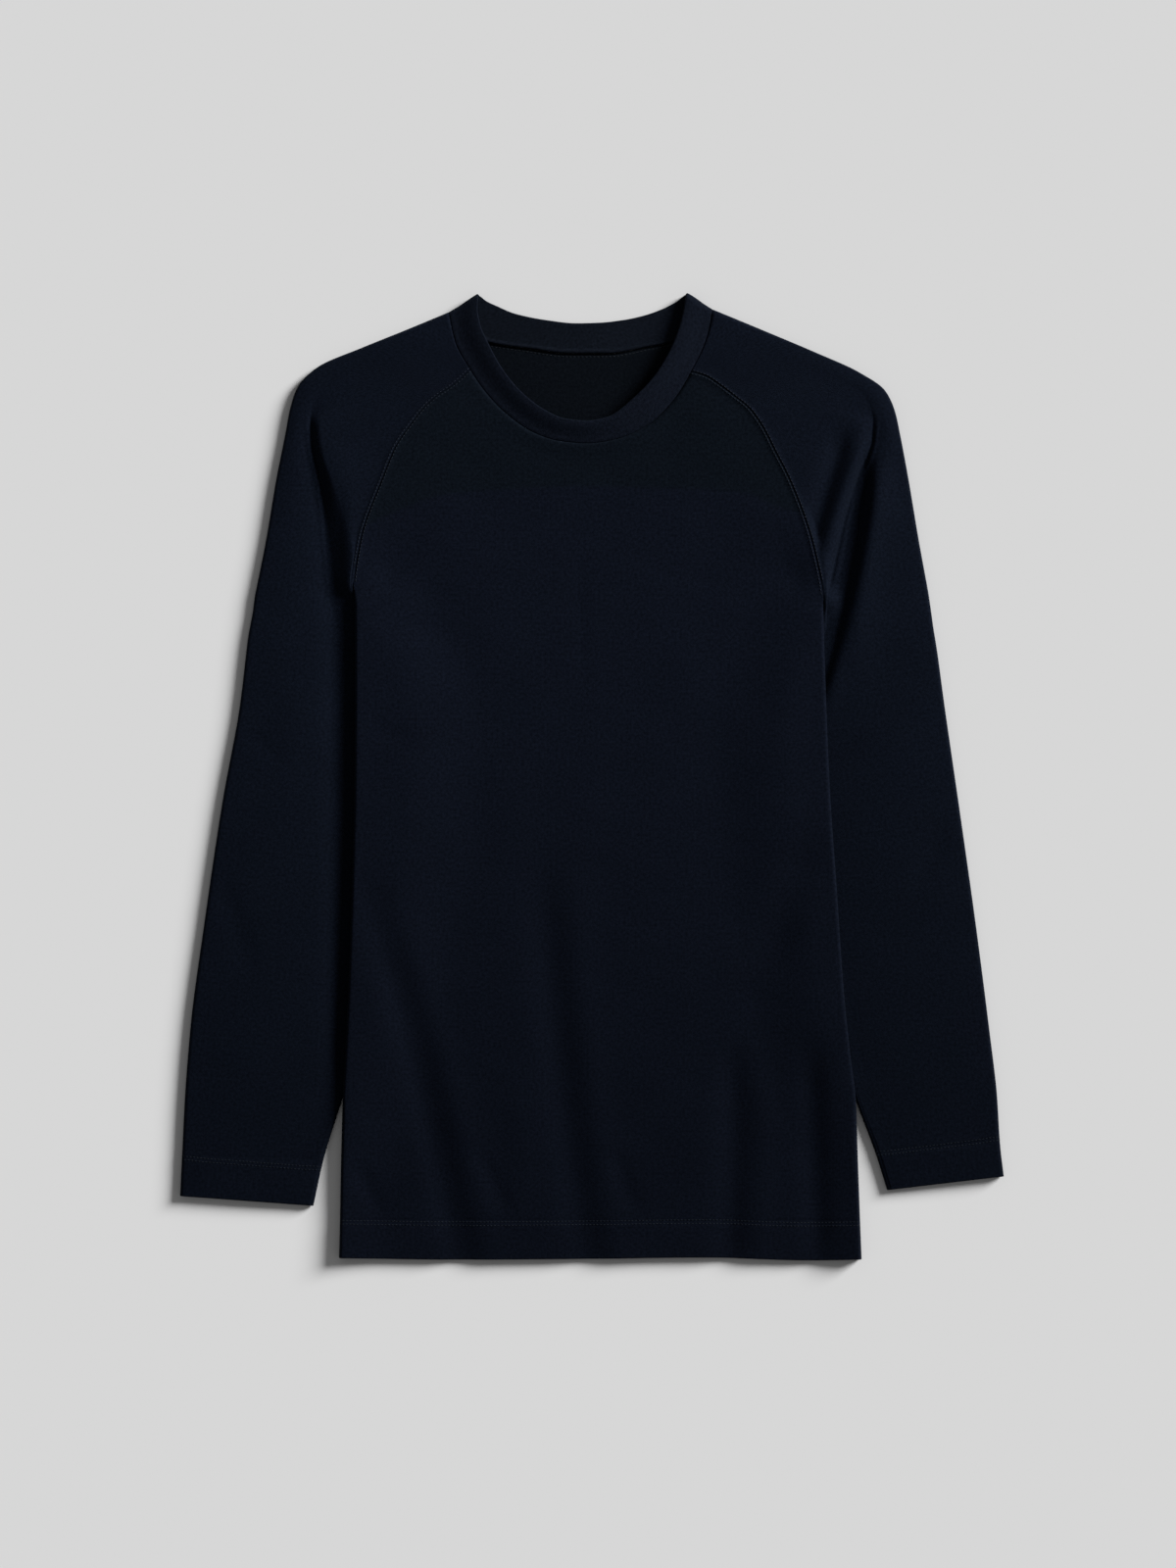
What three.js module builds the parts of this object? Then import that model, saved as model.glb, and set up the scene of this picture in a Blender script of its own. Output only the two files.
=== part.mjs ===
// Long-sleeved raglan thermal top, laid flat on its back with both sleeves tucked under its sides.
// Five sewn pieces: front, back, two sleeves and a doubled neckband. Each is a closed wall of cloth.
// Millimetres, +Z up, +Y towards the collar. The underside lies on z = 0, and the origin is in its middle.

import * as THREE from 'three';
import { mergeVertices } from 'three/addons/utils/BufferGeometryUtils.js';

// Cloth
const CLOTH = 1.4;
const BAND = 2.4;
const HEM_EXTRA = 0.7;
const HEM_RISE = 0.4;
const HALF_GAP = 0.16;

// Folds that close the flattened tubes, as radii
const ARM_FOLD = 3;
const SIDE_FOLD = 2.6;
const SEAM_REACH = 2;
const CREASE_WIDTH = 5;
const CREASE_MOST = 0.8;
const UNDERARM_RISE = 0.55;
const NECK_BLEND = 0.7;

// How the body's sides climb over the tucked sleeves. The back follows the sleeve and the front bridges it.
const LIFT = 4.9;
const BACK_SLOPE = 12;
const FRONT_SLOPE = 60;
const LIFT_START = 22;
const LIFT_FULL = 12;
const SIDE_SHARE = 0.36;

// Spacing of the sections
const LONG_STEP = 40;
const SHOULDER_STEP = 22;
const FRONT_COLUMNS = 13;
const BACK_COLUMNS = 9;
const LEAST_TUCK = 9;
const SLOPE_SHARES = [0, 0.35, 0.7];
const BAND_STEP = 10.5;
const FOLD_STEPS = 3;
const HEM_EDGE = 0.07;
const NEARBY = 0.1;

const CLOTH_COLOUR = new THREE.Color(0x0e131d);
const BAND_COLOUR = new THREE.Color(0x10151f);

// Sections of a sleeve from the cuff to the neck. outer is the fold along the arm and the shoulder. inner is
// the fold beside the body up to the underarm, and from there the front raglan seam; back is the back raglan
// seam. crease is the foot of the shoulder crease, as a share of the way from outer to inner, and fold the
// radius of the inner fold. Heights are of the upper layer: seam at the inner edge, shoulder inside the
// crease, dip at its foot and crown half way along the arm side.
const SLEEVE_COLUMNS = ['outerX', 'outerY', 'innerX', 'innerY', 'backX', 'backY', 'crease', 'fold', 'seam',
  'shoulder', 'dip', 'crown'];
const SLEEVE_ROWS = {
  left: [
    [-304.3, -309.4, -205.8, -316.7, -205.8, -316.7, 0.88, 2.2, 4.4, 4.9, 5.0, 5.7],
    [-302.9, -281.1, -198.5, -283.3, -198.5, -283.3, 0.88, 2.2, 4.4, 4.9, 5.0, 5.8],
    [-300.7, -236.9, -186.2, -243.5, -186.2, -243.5, 0.89, 2.1, 4.2, 4.4, 4.6, 6.2],
    [-296.4, -182.6, -171.0, -195.6, -171.0, -195.6, 0.87, 2.1, 4.2, 4.2, 4.2, 6.5],
    [-286.2, -106.5, -156.5, -123.2, -156.5, -123.2, 0.80, 2.1, 4.2, 4.2, 4.0, 6.6],
    [-273.2, -19.6, -140.6, -36.2, -140.6, -36.2, 0.71, 2.1, 4.2, 4.2, 3.9, 6.6],
    [-260.1, 52.9, -137.7, 35.5, -137.7, 35.5, 0.67, 2.1, 4.2, 4.2, 3.8, 6.6],
    [-254.0, 103.6, -151.4, 87.7, -151.4, 87.7, 0.73, 2.0, 4.0, 4.0, 3.7, 6.6],
    [-250.7, 121.7, -168.8, 111.6, -168.8, 111.6, 0.84, 1.9, 3.8, 3.8, 3.7, 6.6],
    [-249.0, 134.1, -174.2, 131.2, -174.2, 131.2, 0.88, 1.8, 5.2, 5.2, 3.6, 6.6],
    [-247.1, 143.5, -175.9, 141.3, -175.9, 141.3, 0.88, 1.8, 7.8, 8.0, 3.8, 6.6],
    [-240.6, 176.1, -170.3, 177.5, -172.5, 176.1, 0.75, 0, 8.5, 9.0, 4.2, 6.6],
    [-233.3, 219.6, -155.1, 219.6, -163.8, 216.7, 0.43, 0, 8.4, 9.2, 4.7, 6.8],
    [-226.8, 252.2, -144.9, 244.2, -154.3, 242.7, 0.265, 0, 8.2, 8.6, 5.2, 6.8],
    [-223.0, 272.4, -133.7, 260.9, -144.9, 261.6, 0.20, 0, 8.0, 8.0, 6.0, 6.8],
    [-217.4, 288.4, -123.2, 273.9, -134.8, 276.8, 0.17, 0, 7.8, 7.6, 6.6, 6.8],
    [-202.2, 303.2, -114.5, 281.5, -123.9, 289.8, 0.20, 0, 7.6, 7.4, 6.8, 6.7],
    [-169.6, 317.4, -105.1, 287.7, -113.0, 302.9, 0.22, 0, 7.5, 7.3, 6.8, 6.6],
    [-136.9, 330.6, -97.1, 294.2, -102.2, 315.9, 0.22, 0, 7.4, 7.2, 6.7, 6.5],
    [-105.8, 343.5, -89.9, 300.7, -91.3, 328.2, 0.23, 0, 7.4, 7.0, 6.6, 6.4],
  ],
  right: [
    [304.3, -294.9, 218.1, -305.1, 218.1, -305.1, 0.88, 2.2, 4.4, 4.9, 5.0, 5.7],
    [301.4, -269.6, 209.4, -277.5, 209.4, -277.5, 0.88, 2.2, 4.4, 4.9, 5.0, 5.8],
    [299.3, -235.5, 194.9, -238.4, 194.9, -238.4, 0.89, 2.1, 4.2, 4.4, 4.6, 6.2],
    [293.1, -182.6, 179.7, -186.2, 179.7, -186.2, 0.88, 2.1, 4.2, 4.2, 4.3, 6.5],
    [283.3, -106.5, 163.8, -113.8, 163.8, -113.8, 0.84, 2.1, 4.2, 4.2, 4.2, 6.6],
    [271.0, -19.6, 150.7, -30.4, 150.7, -30.4, 0.78, 2.1, 4.2, 4.2, 4.1, 6.6],
    [260.5, 52.9, 145.6, 37.0, 145.6, 37.0, 0.76, 2.1, 4.2, 4.2, 4.0, 6.6],
    [255.1, 92.7, 152.9, 78.3, 152.9, 78.3, 0.79, 2.0, 4.0, 4.0, 3.8, 6.6],
    [252.2, 110.9, 165.2, 102.2, 165.2, 102.2, 0.87, 1.9, 3.8, 3.8, 3.7, 6.6],
    [250.7, 121.7, 170.2, 119.6, 170.2, 119.6, 0.89, 1.8, 5.2, 5.2, 3.6, 6.6],
    [248.9, 134.1, 171.0, 131.2, 171.0, 131.2, 0.90, 1.8, 7.8, 8.0, 3.8, 6.6],
    [241.3, 176.1, 162.3, 173.9, 165.2, 172.5, 0.71, 0, 8.5, 9.0, 4.2, 6.6],
    [234.0, 219.6, 146.4, 218.1, 152.9, 214.5, 0.40, 0, 8.4, 9.2, 4.6, 6.8],
    [227.9, 252.2, 135.5, 239.8, 142.7, 239.8, 0.225, 0, 8.2, 8.6, 5.2, 6.8],
    [223.9, 270.3, 125.4, 259.4, 132.6, 258.7, 0.17, 0, 8.0, 8.0, 6.0, 6.8],
    [216.7, 285.5, 115.2, 273.2, 121.7, 275.3, 0.16, 0, 7.8, 7.6, 6.6, 6.8],
    [197.1, 299.3, 105.8, 280.8, 110.1, 289.1, 0.19, 0, 7.6, 7.4, 6.8, 6.7],
    [165.2, 313.8, 94.9, 289.1, 98.5, 302.2, 0.21, 0, 7.5, 7.3, 6.8, 6.6],
    [127.5, 329.7, 84.1, 296.0, 86.2, 315.2, 0.22, 0, 7.4, 7.2, 6.7, 6.5],
    [89.1, 345.6, 73.2, 299.3, 73.9, 327.5, 0.23, 0, 7.4, 7.0, 6.6, 6.4],
  ],
};
const CUFF_LINE = 1;
const UNDERARM = 10;
const NECK = 19;

// Sections of the body from the hem to the underarm: its side edges and the height of the front's middle.
const BODY_COLUMNS = ['leftX', 'leftY', 'rightX', 'rightY', 'middle'];
const BODY_ROWS = [
  [-186.9, -355.1, 199.3, -356.1, 5.4],
  [-186.2, -328.2, 198.2, -329.0, 5.6],
  [-185.5, -287.7, 196.7, -287.7, 5.8],
  [-184.0, -240.6, 194.9, -240.6, 6.0],
  [-181.9, -200.7, 190.2, -200.7, 6.1],
  [-179.7, -152.9, 185.5, -152.9, 6.2],
  [-177.2, -79.0, 180.4, -79.0, 6.3],
  [-175.4, -5.8, 175.4, -5.8, 6.4],
  [-175.0, 67.4, 172.5, 65.9, 6.5],
  [-175.0, 103.6, 171.4, 100.0, 6.6],
  [-175.1, 123.9, 171.0, 116.7, 6.6],
  [-175.4, 141.3, 170.5, 131.2, 6.7],
];
const HEM_LINE = 1;
const CHEST_MIDDLE = 7.4;

// The hem's edge is a little wavy: how far it hangs below a straight line, by share of the way across.
const HEM_WAVE = [[0, 0], [0.2, 1.1], [0.45, 0.4], [0.7, -0.9], [0.9, 1.0], [1, 0]];

// The neckband from the left shoulder round the front to the right one, and back round the neck: its seam,
// its free edge, and the heights of both on the outer face.
const NECK_COLUMNS = ['seamX', 'seamY', 'edgeX', 'edgeY', 'seamZ', 'edgeZ'];
const NECK_FRONT = [
  [-105.8, 343.5, -83.7, 356.5, 6.2, 6.2],
  [-103.3, 330.4, -84.4, 346.4, 6.5, 6.8],
  [-100.4, 319.5, -82.6, 334.8, 6.9, 7.6],
  [-89.9, 300.7, -76.1, 319.5, 7.4, 8.3],
  [-79.0, 284.8, -66.7, 302.2, 7.7, 8.7],
  [-63.0, 268.1, -52.9, 285.1, 7.9, 8.9],
  [-42.8, 254.3, -35.5, 271.4, 8.0, 9.0],
  [-23.9, 248.2, -19.6, 264.5, 8.0, 9.0],
  [-3.6, 246.4, -3.6, 263.0, 8.0, 9.0],
  [15.2, 248.9, 11.6, 265.9, 8.0, 9.0],
  [39.1, 258.7, 29.7, 279.0, 8.0, 9.0],
  [59.4, 277.5, 45.6, 295.6, 7.8, 8.8],
  [73.2, 299.3, 56.5, 313.0, 7.4, 8.4],
  [82.6, 318.1, 63.8, 330.4, 6.9, 7.6],
  [87.0, 332.6, 67.4, 344.2, 6.5, 6.8],
  [89.1, 345.6, 69.6, 357.2, 6.2, 6.2],
];
const NECK_BACK = [
  [89.1, 345.6, 69.6, 357.2, 0, 0],
  [81.9, 334.8, 62.3, 351.4, 0, 0],
  [73.9, 327.5, 53.6, 346.7, 0, 0],
  [59.4, 321.7, 39.9, 341.6, 0, 0],
  [42.0, 318.1, 23.9, 338.0, 0, 0],
  [10.9, 313.0, 5.1, 335.9, 0, 0],
  [-15.9, 313.0, -11.6, 335.5, 0, 0],
  [-47.8, 316.7, -34.8, 338.0, 0, 0],
  [-76.1, 321.0, -57.2, 342.7, 0, 0],
  [-91.3, 328.2, -70.3, 348.2, 0, 0],
  [-99.3, 334.8, -77.9, 351.8, 0, 0],
  [-105.8, 343.5, -83.7, 356.5, 0, 0],
];
const FRONT_SEAM_ROWS = [3, 12];
const BACK_SEAM_ROWS = [2, 9];

// Section of the neckband from its seam to its free edge: share of the width, how far the outer face stands
// above or below the level of the seam and edge, and the thickness there.
const BAND_SECTION = [
  { at: 0, rise: 0, thick: BAND },
  { at: 0.3, rise: 0.35, thick: BAND },
  { at: 0.7, rise: 0.35, thick: BAND },
  { at: 0.93, rise: 0, thick: BAND * 0.9 },
  { at: 1, rise: -0.7, thick: BAND * 0.45 },
];

// The largest folds of the front, as troughs: three places from top to bottom, width and depth.
const FOLDS = [
  { name: 'left drag', x: [-167, -136, -90], y: [-40, -175, -328], wide: 15, deep: 1.3 },
  { name: 'centre', x: [-20, -17, 8], y: [-40, -160, -328], wide: 14, deep: 1.2 },
  { name: 'right inner', x: [106, 108, 110], y: [-190, -255, -325], wide: 14, deep: 1.2 },
  { name: 'right outer', x: [160, 163, 166], y: [-180, -250, -325], wide: 12, deep: 1.1 },
  { name: 'right waist', x: [163, 145, 126], y: [-35, -95, -155], wide: 16, deep: 0.9 },
];

const RIGHT_ANGLE = Math.PI / 2;
const UP = new THREE.Vector3(0, 0, 1);
const smooth = (from, to, x) => THREE.MathUtils.smoothstep(x, from, to);
const { lerp } = THREE.MathUtils;

// Monotone cubic curve through values at rising knots, with no overshoot
function pchip(knots, values) {
  const last = knots.length - 1;
  const secant = (i) => (values[i + 1] - values[i]) / (knots[i + 1] - knots[i]);
  const slope = (i) => {
    if (i === 0) return secant(0);
    if (i === last) return secant(last - 1);
    const before = secant(i - 1);
    const after = secant(i);
    return before * after <= 0 ? 0 : (2 * before * after) / (before + after);
  };
  return (x) => {
    let i = 0;
    while (i < last - 1 && x > knots[i + 1]) i += 1;
    const span = knots[i + 1] - knots[i];
    const t = (x - knots[i]) / span;
    const rise = t * t * (3 - 2 * t);
    return values[i] * (1 - rise) + values[i + 1] * rise
      + span * (slope(i) * t * (1 - t) ** 2 - slope(i + 1) * t * t * (1 - t));
  };
}

// Smooth curves through every column of a table, over knots that rise from row to row
function curves(columns, rows, knots) {
  return Object.fromEntries(columns.map((name, c) => [name, pchip(knots, rows.map((row) => row[c]))]));
}

// Running distance along a list of plan places, starting at 0
function distances(places) {
  const out = [0];
  for (let i = 1; i < places.length; i += 1) {
    out.push(out[i - 1] + Math.hypot(places[i][0] - places[i - 1][0], places[i][1] - places[i - 1][1]));
  }
  return out;
}

// Sleeve and body rows share one running number, so that both sides of a seam get the same sections
const sleeveKnots = SLEEVE_ROWS.left.map((row, i) => i);
const sleeves = {
  left: curves(SLEEVE_COLUMNS, SLEEVE_ROWS.left, sleeveKnots),
  right: curves(SLEEVE_COLUMNS, SLEEVE_ROWS.right, sleeveKnots),
};
const bodyKnots = BODY_ROWS.map((row, i) => i);
const body = curves(BODY_COLUMNS, BODY_ROWS, bodyKnots);
const SHOULDER_ROWS = NECK - UNDERARM;
const BODY_TOP = BODY_ROWS.length - 1;

// Running numbers of the sections: every row of a table, with more between rows that lie far apart
function stations(rows, first, last, columns, step) {
  const out = [];
  for (let i = first; i < last; i += 1) {
    const [x, y] = columns;
    const length = Math.hypot(rows[i + 1][x] - rows[i][x], rows[i + 1][y] - rows[i][y]);
    const count = Math.max(1, Math.round(length / step));
    for (let k = 0; k < count; k += 1) out.push(i + k / count);
  }
  out.push(last);
  return out;
}
const SHOULDER_STATIONS = stations(SLEEVE_ROWS.left, UNDERARM, NECK, [0, 1], SHOULDER_STEP);

// A hem ends in a small step, so one more section comes straight after its stitch line
const afterHem = (list, line) => [...list, line + HEM_EDGE].sort((a, b) => a - b);
const armRows = stations(SLEEVE_ROWS.left, 0, UNDERARM, [2, 3], LONG_STEP);
const ARM_STATIONS = afterHem(armRows.slice(0, -1), CUFF_LINE);
const BODY_STATIONS = afterHem(stations(BODY_ROWS, 0, BODY_TOP, [0, 1], LONG_STEP), HEM_LINE);
const hemWave = pchip(HEM_WAVE.map(([share]) => share), HEM_WAVE.map(([, drop]) => drop));

// The body's sides climb over the sleeves: height of the floor under the body at a place
const sleeveEdge = Object.fromEntries(['left', 'right'].map((side) => {
  const rows = SLEEVE_ROWS[side].slice(0, UNDERARM + 1);
  return [side, pchip(rows.map((row) => row[3]), rows.map((row) => row[2]))];
}));
function tuckedEdge(side, y) {
  const rows = SLEEVE_ROWS[side];
  return sleeveEdge[side](THREE.MathUtils.clamp(y, rows[0][3], rows[UNDERARM][3]));
}
function underBody(x, y, slope = BACK_SLOPE) {
  let height = 0;
  for (const side of ['left', 'right']) {
    const top = SLEEVE_ROWS[side][UNDERARM][3];
    const distance = side === 'left' ? tuckedEdge(side, y) - x : x - tuckedEdge(side, y);
    const along = 1 - smooth(top - LIFT_FULL, top + LIFT_START, y);
    height += LIFT * along * smooth(-slope, 0, distance);
  }
  return height;
}

function foldDepth(x, y) {
  let depth = 0;
  for (const fold of FOLDS) {
    const [top, middle, low] = fold.y;
    if (y > top + fold.wide || y < low - fold.wide) continue;
    const along = THREE.MathUtils.clamp((top - y) / (top - low), 0, 1);
    const split = (top - middle) / (top - low);
    const centre = along < split
      ? lerp(fold.x[0], fold.x[1], along / split)
      : lerp(fold.x[1], fold.x[2], (along - split) / (1 - split));
    const fadeIn = 1 - smooth(top - 2 * fold.wide, top + fold.wide, y);
    const fadeOut = smooth(low - fold.wide, low + fold.wide, y);
    const ends = fadeIn * fadeOut;
    depth += fold.deep * Math.exp(-(((x - centre) / fold.wide) ** 2)) * ends;
  }
  return depth;
}

// The neckband's plan as smooth curves over the running distance along its seam
function neckHalf(rows, up) {
  const knots = distances(rows);
  return { ...curves(NECK_COLUMNS, rows, knots), knots, length: knots[knots.length - 1], up };
}
const neckFront = neckHalf(NECK_FRONT, 1);
const neckBack = neckHalf(NECK_BACK, -1);

// Frame of the neckband at distance s along one half of its seam. turn is the angle around a shoulder fold,
// from 0 at the fold to a right angle on the flat. along points from the seam to the free edge.
function neckFrame(half, s, turn) {
  const [x, y] = [half.edgeX(s) - half.seamX(s), half.edgeY(s) - half.seamY(s)];
  const along = new THREE.Vector3(x, y, 0).normalize();
  const side = half.seamX(s) < 0 ? 1 : -1;
  const outwards = new THREE.Vector3(-along.y * side, along.x * side, 0);
  const normal = outwards.multiplyScalar(Math.cos(turn)).addScaledVector(UP, half.up * Math.sin(turn));
  return { along, normal };
}

// A place on the neckband's outer face, w of the way from its seam to its free edge
function neckPlace(half, s, turn, w) {
  const x = lerp(half.seamX(s), half.edgeX(s), w);
  const y = lerp(half.seamY(s), half.edgeY(s), w);
  const flat = half.up > 0 ? lerp(half.seamZ(s), half.edgeZ(s), w) : 0;
  const z = turn < RIGHT_ANGLE ? ARM_FOLD + half.up * ARM_FOLD * Math.sin(turn) : flat;
  return new THREE.Vector3(x, y, z);
}

// The same on a panel that is sewn to the band, set back from the seam by half the gap
function panelAtNeck(half, s, turn) {
  const { along, normal } = neckFrame(half, s, turn);
  return { at: neckPlace(half, s, turn, 0).addScaledVector(along, -HALF_GAP), normal };
}

// A wall of cloth from a grid of places on its outer face. Each place has a thickness, and a normal or else
// gets one from its neighbours. closed(i) says that the first and last columns of row i meet, ring that the
// last row meets the first, and facing is -1 where rows and columns run the other way round.
function wall(grid, { closed = () => false, ring = false, facing = 1 } = {}) {
  const rows = grid.length;
  const columns = grid[0].length;
  const place = (i, j) => grid[ring ? (i + rows) % rows : THREE.MathUtils.clamp(i, 0, rows - 1)][j];
  const beside = (i, j, by) => {
    if (!closed(i)) return place(i, THREE.MathUtils.clamp(j + by, 0, columns - 1));
    return place(i, (j + by + columns - 1) % (columns - 1));
  };
  const outer = [];
  const inner = [];
  for (let i = 0; i < rows; i += 1) {
    for (let j = 0; j < columns; j += 1) {
      const here = place(i, j);
      let { normal } = here;
      if (!normal) {
        const across = beside(i, j, 1).at.clone().sub(beside(i, j, -1).at);
        const along = place(i + 1, j).at.clone().sub(place(i - 1, j).at);
        normal = across.cross(along).normalize().multiplyScalar(facing);
      }
      outer.push(here.at);
      inner.push(here.at.clone().addScaledVector(normal, -here.thick));
    }
  }
  const positions = [...outer, ...inner].flatMap((p) => [p.x, p.y, p.z]);
  const shift = outer.length;
  const indices = [];
  const quad = (a, b, c, d) => indices.push(a, b, c, a, c, d);
  const number = (i, j) => (i % rows) * columns + j;
  const spans = ring ? rows : rows - 1;
  for (let i = 0; i < spans; i += 1) {
    for (let j = 0; j < columns - 1; j += 1) {
      const [a, b, c, d] = [number(i, j), number(i, j + 1), number(i + 1, j + 1), number(i + 1, j)];
      quad(a, b, c, d);
      quad(shift + a, shift + d, shift + c, shift + b);
    }
    if (closed(i) && closed(i + 1)) continue;
    const [a, d] = [number(i, 0), number(i + 1, 0)];
    const [b, c] = [number(i, columns - 1), number(i + 1, columns - 1)];
    quad(a, d, shift + d, shift + a);
    quad(c, b, shift + b, shift + c);
  }
  if (!ring) {
    for (let j = 0; j < columns - 1; j += 1) {
      const [a, b] = [number(0, j), number(0, j + 1)];
      const [c, d] = [number(rows - 1, j + 1), number(rows - 1, j)];
      quad(b, a, shift + a, shift + b);
      quad(d, c, shift + c, shift + d);
    }
  }
  const geometry = new THREE.BufferGeometry();
  geometry.setAttribute('position', new THREE.Float32BufferAttribute(positions, 3));
  geometry.setIndex(indices);
  return outwardFacing(mergeVertices(geometry, 1e-3));
}

// Drops triangles with no area, and turns the rest round when the mesh faces inwards
function outwardFacing(geometry) {
  const index = geometry.getIndex().array;
  const position = geometry.getAttribute('position');
  const kept = [];
  let volume = 0;
  for (let i = 0; i < index.length; i += 3) {
    const [a, b, c] = [index[i], index[i + 1], index[i + 2]];
    if (a === b || b === c || c === a) continue;
    kept.push([a, b, c]);
    const [p, q, r] = [a, b, c].map((n) => new THREE.Vector3().fromBufferAttribute(position, n));
    volume += p.dot(q.cross(r));
  }
  geometry.setIndex(kept.flatMap(([a, b, c]) => (volume > 0 ? [a, b, c] : [a, c, b])));
  geometry.computeVertexNormals();
  return geometry;
}

// Place on a raglan seam, moved half the gap towards the sleeve (by 1) or towards the body (by -1)
function raglanPlace(side, layer, v, towards) {
  const row = sleeves[side];
  const [x, y] = layer === 'front' ? [row.innerX, row.innerY] : [row.backX, row.backY];
  const [before, after] = [Math.max(v - NEARBY, UNDERARM), Math.min(v + NEARBY, NECK)];
  const run = new THREE.Vector2(x(after) - x(before), y(after) - y(before)).normalize();
  const out = side === 'left' ? new THREE.Vector2(-run.y, run.x) : new THREE.Vector2(run.y, -run.x);
  return new THREE.Vector2(x(v), y(v)).addScaledVector(out, towards * HALF_GAP);
}

// Sleeve sections run over the upper layer from the inner edge to the outer fold, and back under the arm
const FOLD_ANGLES = Array.from({ length: FOLD_STEPS + 1 }, (_, k) => (k * RIGHT_ANGLE) / FOLD_STEPS);
const EDGE_ANGLES = [0, 0.5, 1].map((share) => share * RIGHT_ANGLE);
const SHOULDER_SHARES = [0.3, 0.65];
const CREASE_SHARES = [1, 0.5, 0.2, 0];
const ARM_SHARES = [0.88, 0.7, 0.45, 0.2];
const UNDER_SHARES = [0.3, 0.6, 0.85];

function sleeveSection(side, v) {
  const row = sleeves[side];
  const closed = v <= UNDERARM;
  const atNeck = v === NECK;
  const hem = v <= CUFF_LINE ? 1 : 0;
  const thick = CLOTH + HEM_EXTRA * hem;
  const outer = new THREE.Vector2(row.outerX(v), row.outerY(v));
  const upper = closed ? new THREE.Vector2(row.innerX(v), row.innerY(v)) : raglanPlace(side, 'front', v, 1);
  const lower = closed ? upper : raglanPlace(side, 'back', v, 1);
  const seam = row.seam(v);
  const fold = closed ? row.fold(v) : 0;
  const lowEnd = closed ? seam - 2 * fold : underBody(lower.x, lower.y);
  const places = [];

  // s is the distance from the outer fold towards an inner edge, and turn the angle around the outer fold
  const add = (layer, s, z, { normal, turn = RIGHT_ANGLE } = {}) => {
    const end = layer > 0 ? upper : lower;
    if (atNeck) {
      const half = layer > 0 ? neckFront : neckBack;
      const rows = layer > 0 ? FRONT_SEAM_ROWS : BACK_SEAM_ROWS;
      const fromStart = (side === 'left') === (layer > 0);
      const reach = (fromStart ? half.knots[rows[0]] : half.length - half.knots[rows[1]]) - HALF_GAP;
      const flat = Math.max(0, (s - ARM_FOLD) / (end.distanceTo(outer) - ARM_FOLD));
      const run = s <= ARM_FOLD ? s : lerp(ARM_FOLD, reach, flat);
      places.push({ ...panelAtNeck(half, fromStart ? run : half.length - run, turn), thick });
      return;
    }
    const plan = outer.clone().addScaledVector(end.clone().sub(outer).normalize(), s);
    places.push({ at: new THREE.Vector3(plan.x, plan.y, z), thick, normal });
  };
  const length = { upper: upper.distanceTo(outer), lower: lower.distanceTo(outer) };
  const chord = upper.clone().sub(outer).normalize();
  const inwards = new THREE.Vector3(chord.x, chord.y, 0);
  const edge = (layer) => {
    const reach = layer > 0 ? length.upper : length.lower;
    return EDGE_ANGLES.map((angle, k) => {
      if (closed) {
        const level = seam - fold + layer * fold * Math.sin(angle);
        const normal = k === 0 ? inwards : undefined;
        return [layer, reach - fold + fold * Math.cos(angle), level, { normal }];
      }
      const normal = k === 0 ? UP.clone().multiplyScalar(layer) : undefined;
      return [layer, reach - SEAM_REACH * (angle / RIGHT_ANGLE), layer > 0 ? seam : lowEnd, { normal }];
    });
  };

  for (const place of edge(1)) add(...place);
  const shoulderEnd = length.upper - (closed ? fold : SEAM_REACH);
  const crease = row.crease(v) * length.upper;
  const width = Math.min(CREASE_WIDTH, (shoulderEnd - crease) * CREASE_MOST);
  const [dip, shoulder] = [row.dip(v), row.shoulder(v)];
  for (const share of SHOULDER_SHARES) {
    add(1, lerp(shoulderEnd, crease + width, share), lerp(seam, shoulder, smooth(0, 1, share)));
  }
  for (const share of CREASE_SHARES) {
    add(1, crease + width * share, dip + (shoulder - dip) * Math.sin(share * RIGHT_ANGLE));
  }
  const crown = row.crown(v) - (2 * ARM_FOLD + dip) / 2;
  for (const share of ARM_SHARES) {
    const level = lerp(2 * ARM_FOLD, dip, share) + 4 * share * (1 - share) * crown;
    add(1, lerp(ARM_FOLD, crease, share), level + HEM_RISE * hem);
  }
  for (const turn of [...FOLD_ANGLES].reverse()) {
    const normal = turn === 0 ? inwards.clone().negate() : undefined;
    add(1, ARM_FOLD * (1 - Math.cos(turn)), ARM_FOLD * (1 + Math.sin(turn)), { normal, turn });
  }
  for (const turn of FOLD_ANGLES.slice(1)) {
    add(-1, ARM_FOLD * (1 - Math.cos(turn)), ARM_FOLD * (1 - Math.sin(turn)), { turn });
  }
  for (const share of UNDER_SHARES) {
    const lowStart = length.lower - (closed ? fold : SEAM_REACH);
    add(-1, lerp(ARM_FOLD, lowStart, share), lowEnd * smooth(UNDERARM_RISE, 1, share));
  }
  for (const place of edge(-1).reverse()) add(...place);
  return places;
}

function sleeve(side) {
  const numbers = [...ARM_STATIONS, ...SHOULDER_STATIONS];
  const grid = numbers.map((v) => sleeveSection(side, v));
  return wall(grid, { closed: (i) => numbers[i] <= UNDERARM, facing: side === 'left' ? -1 : 1 });
}

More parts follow.
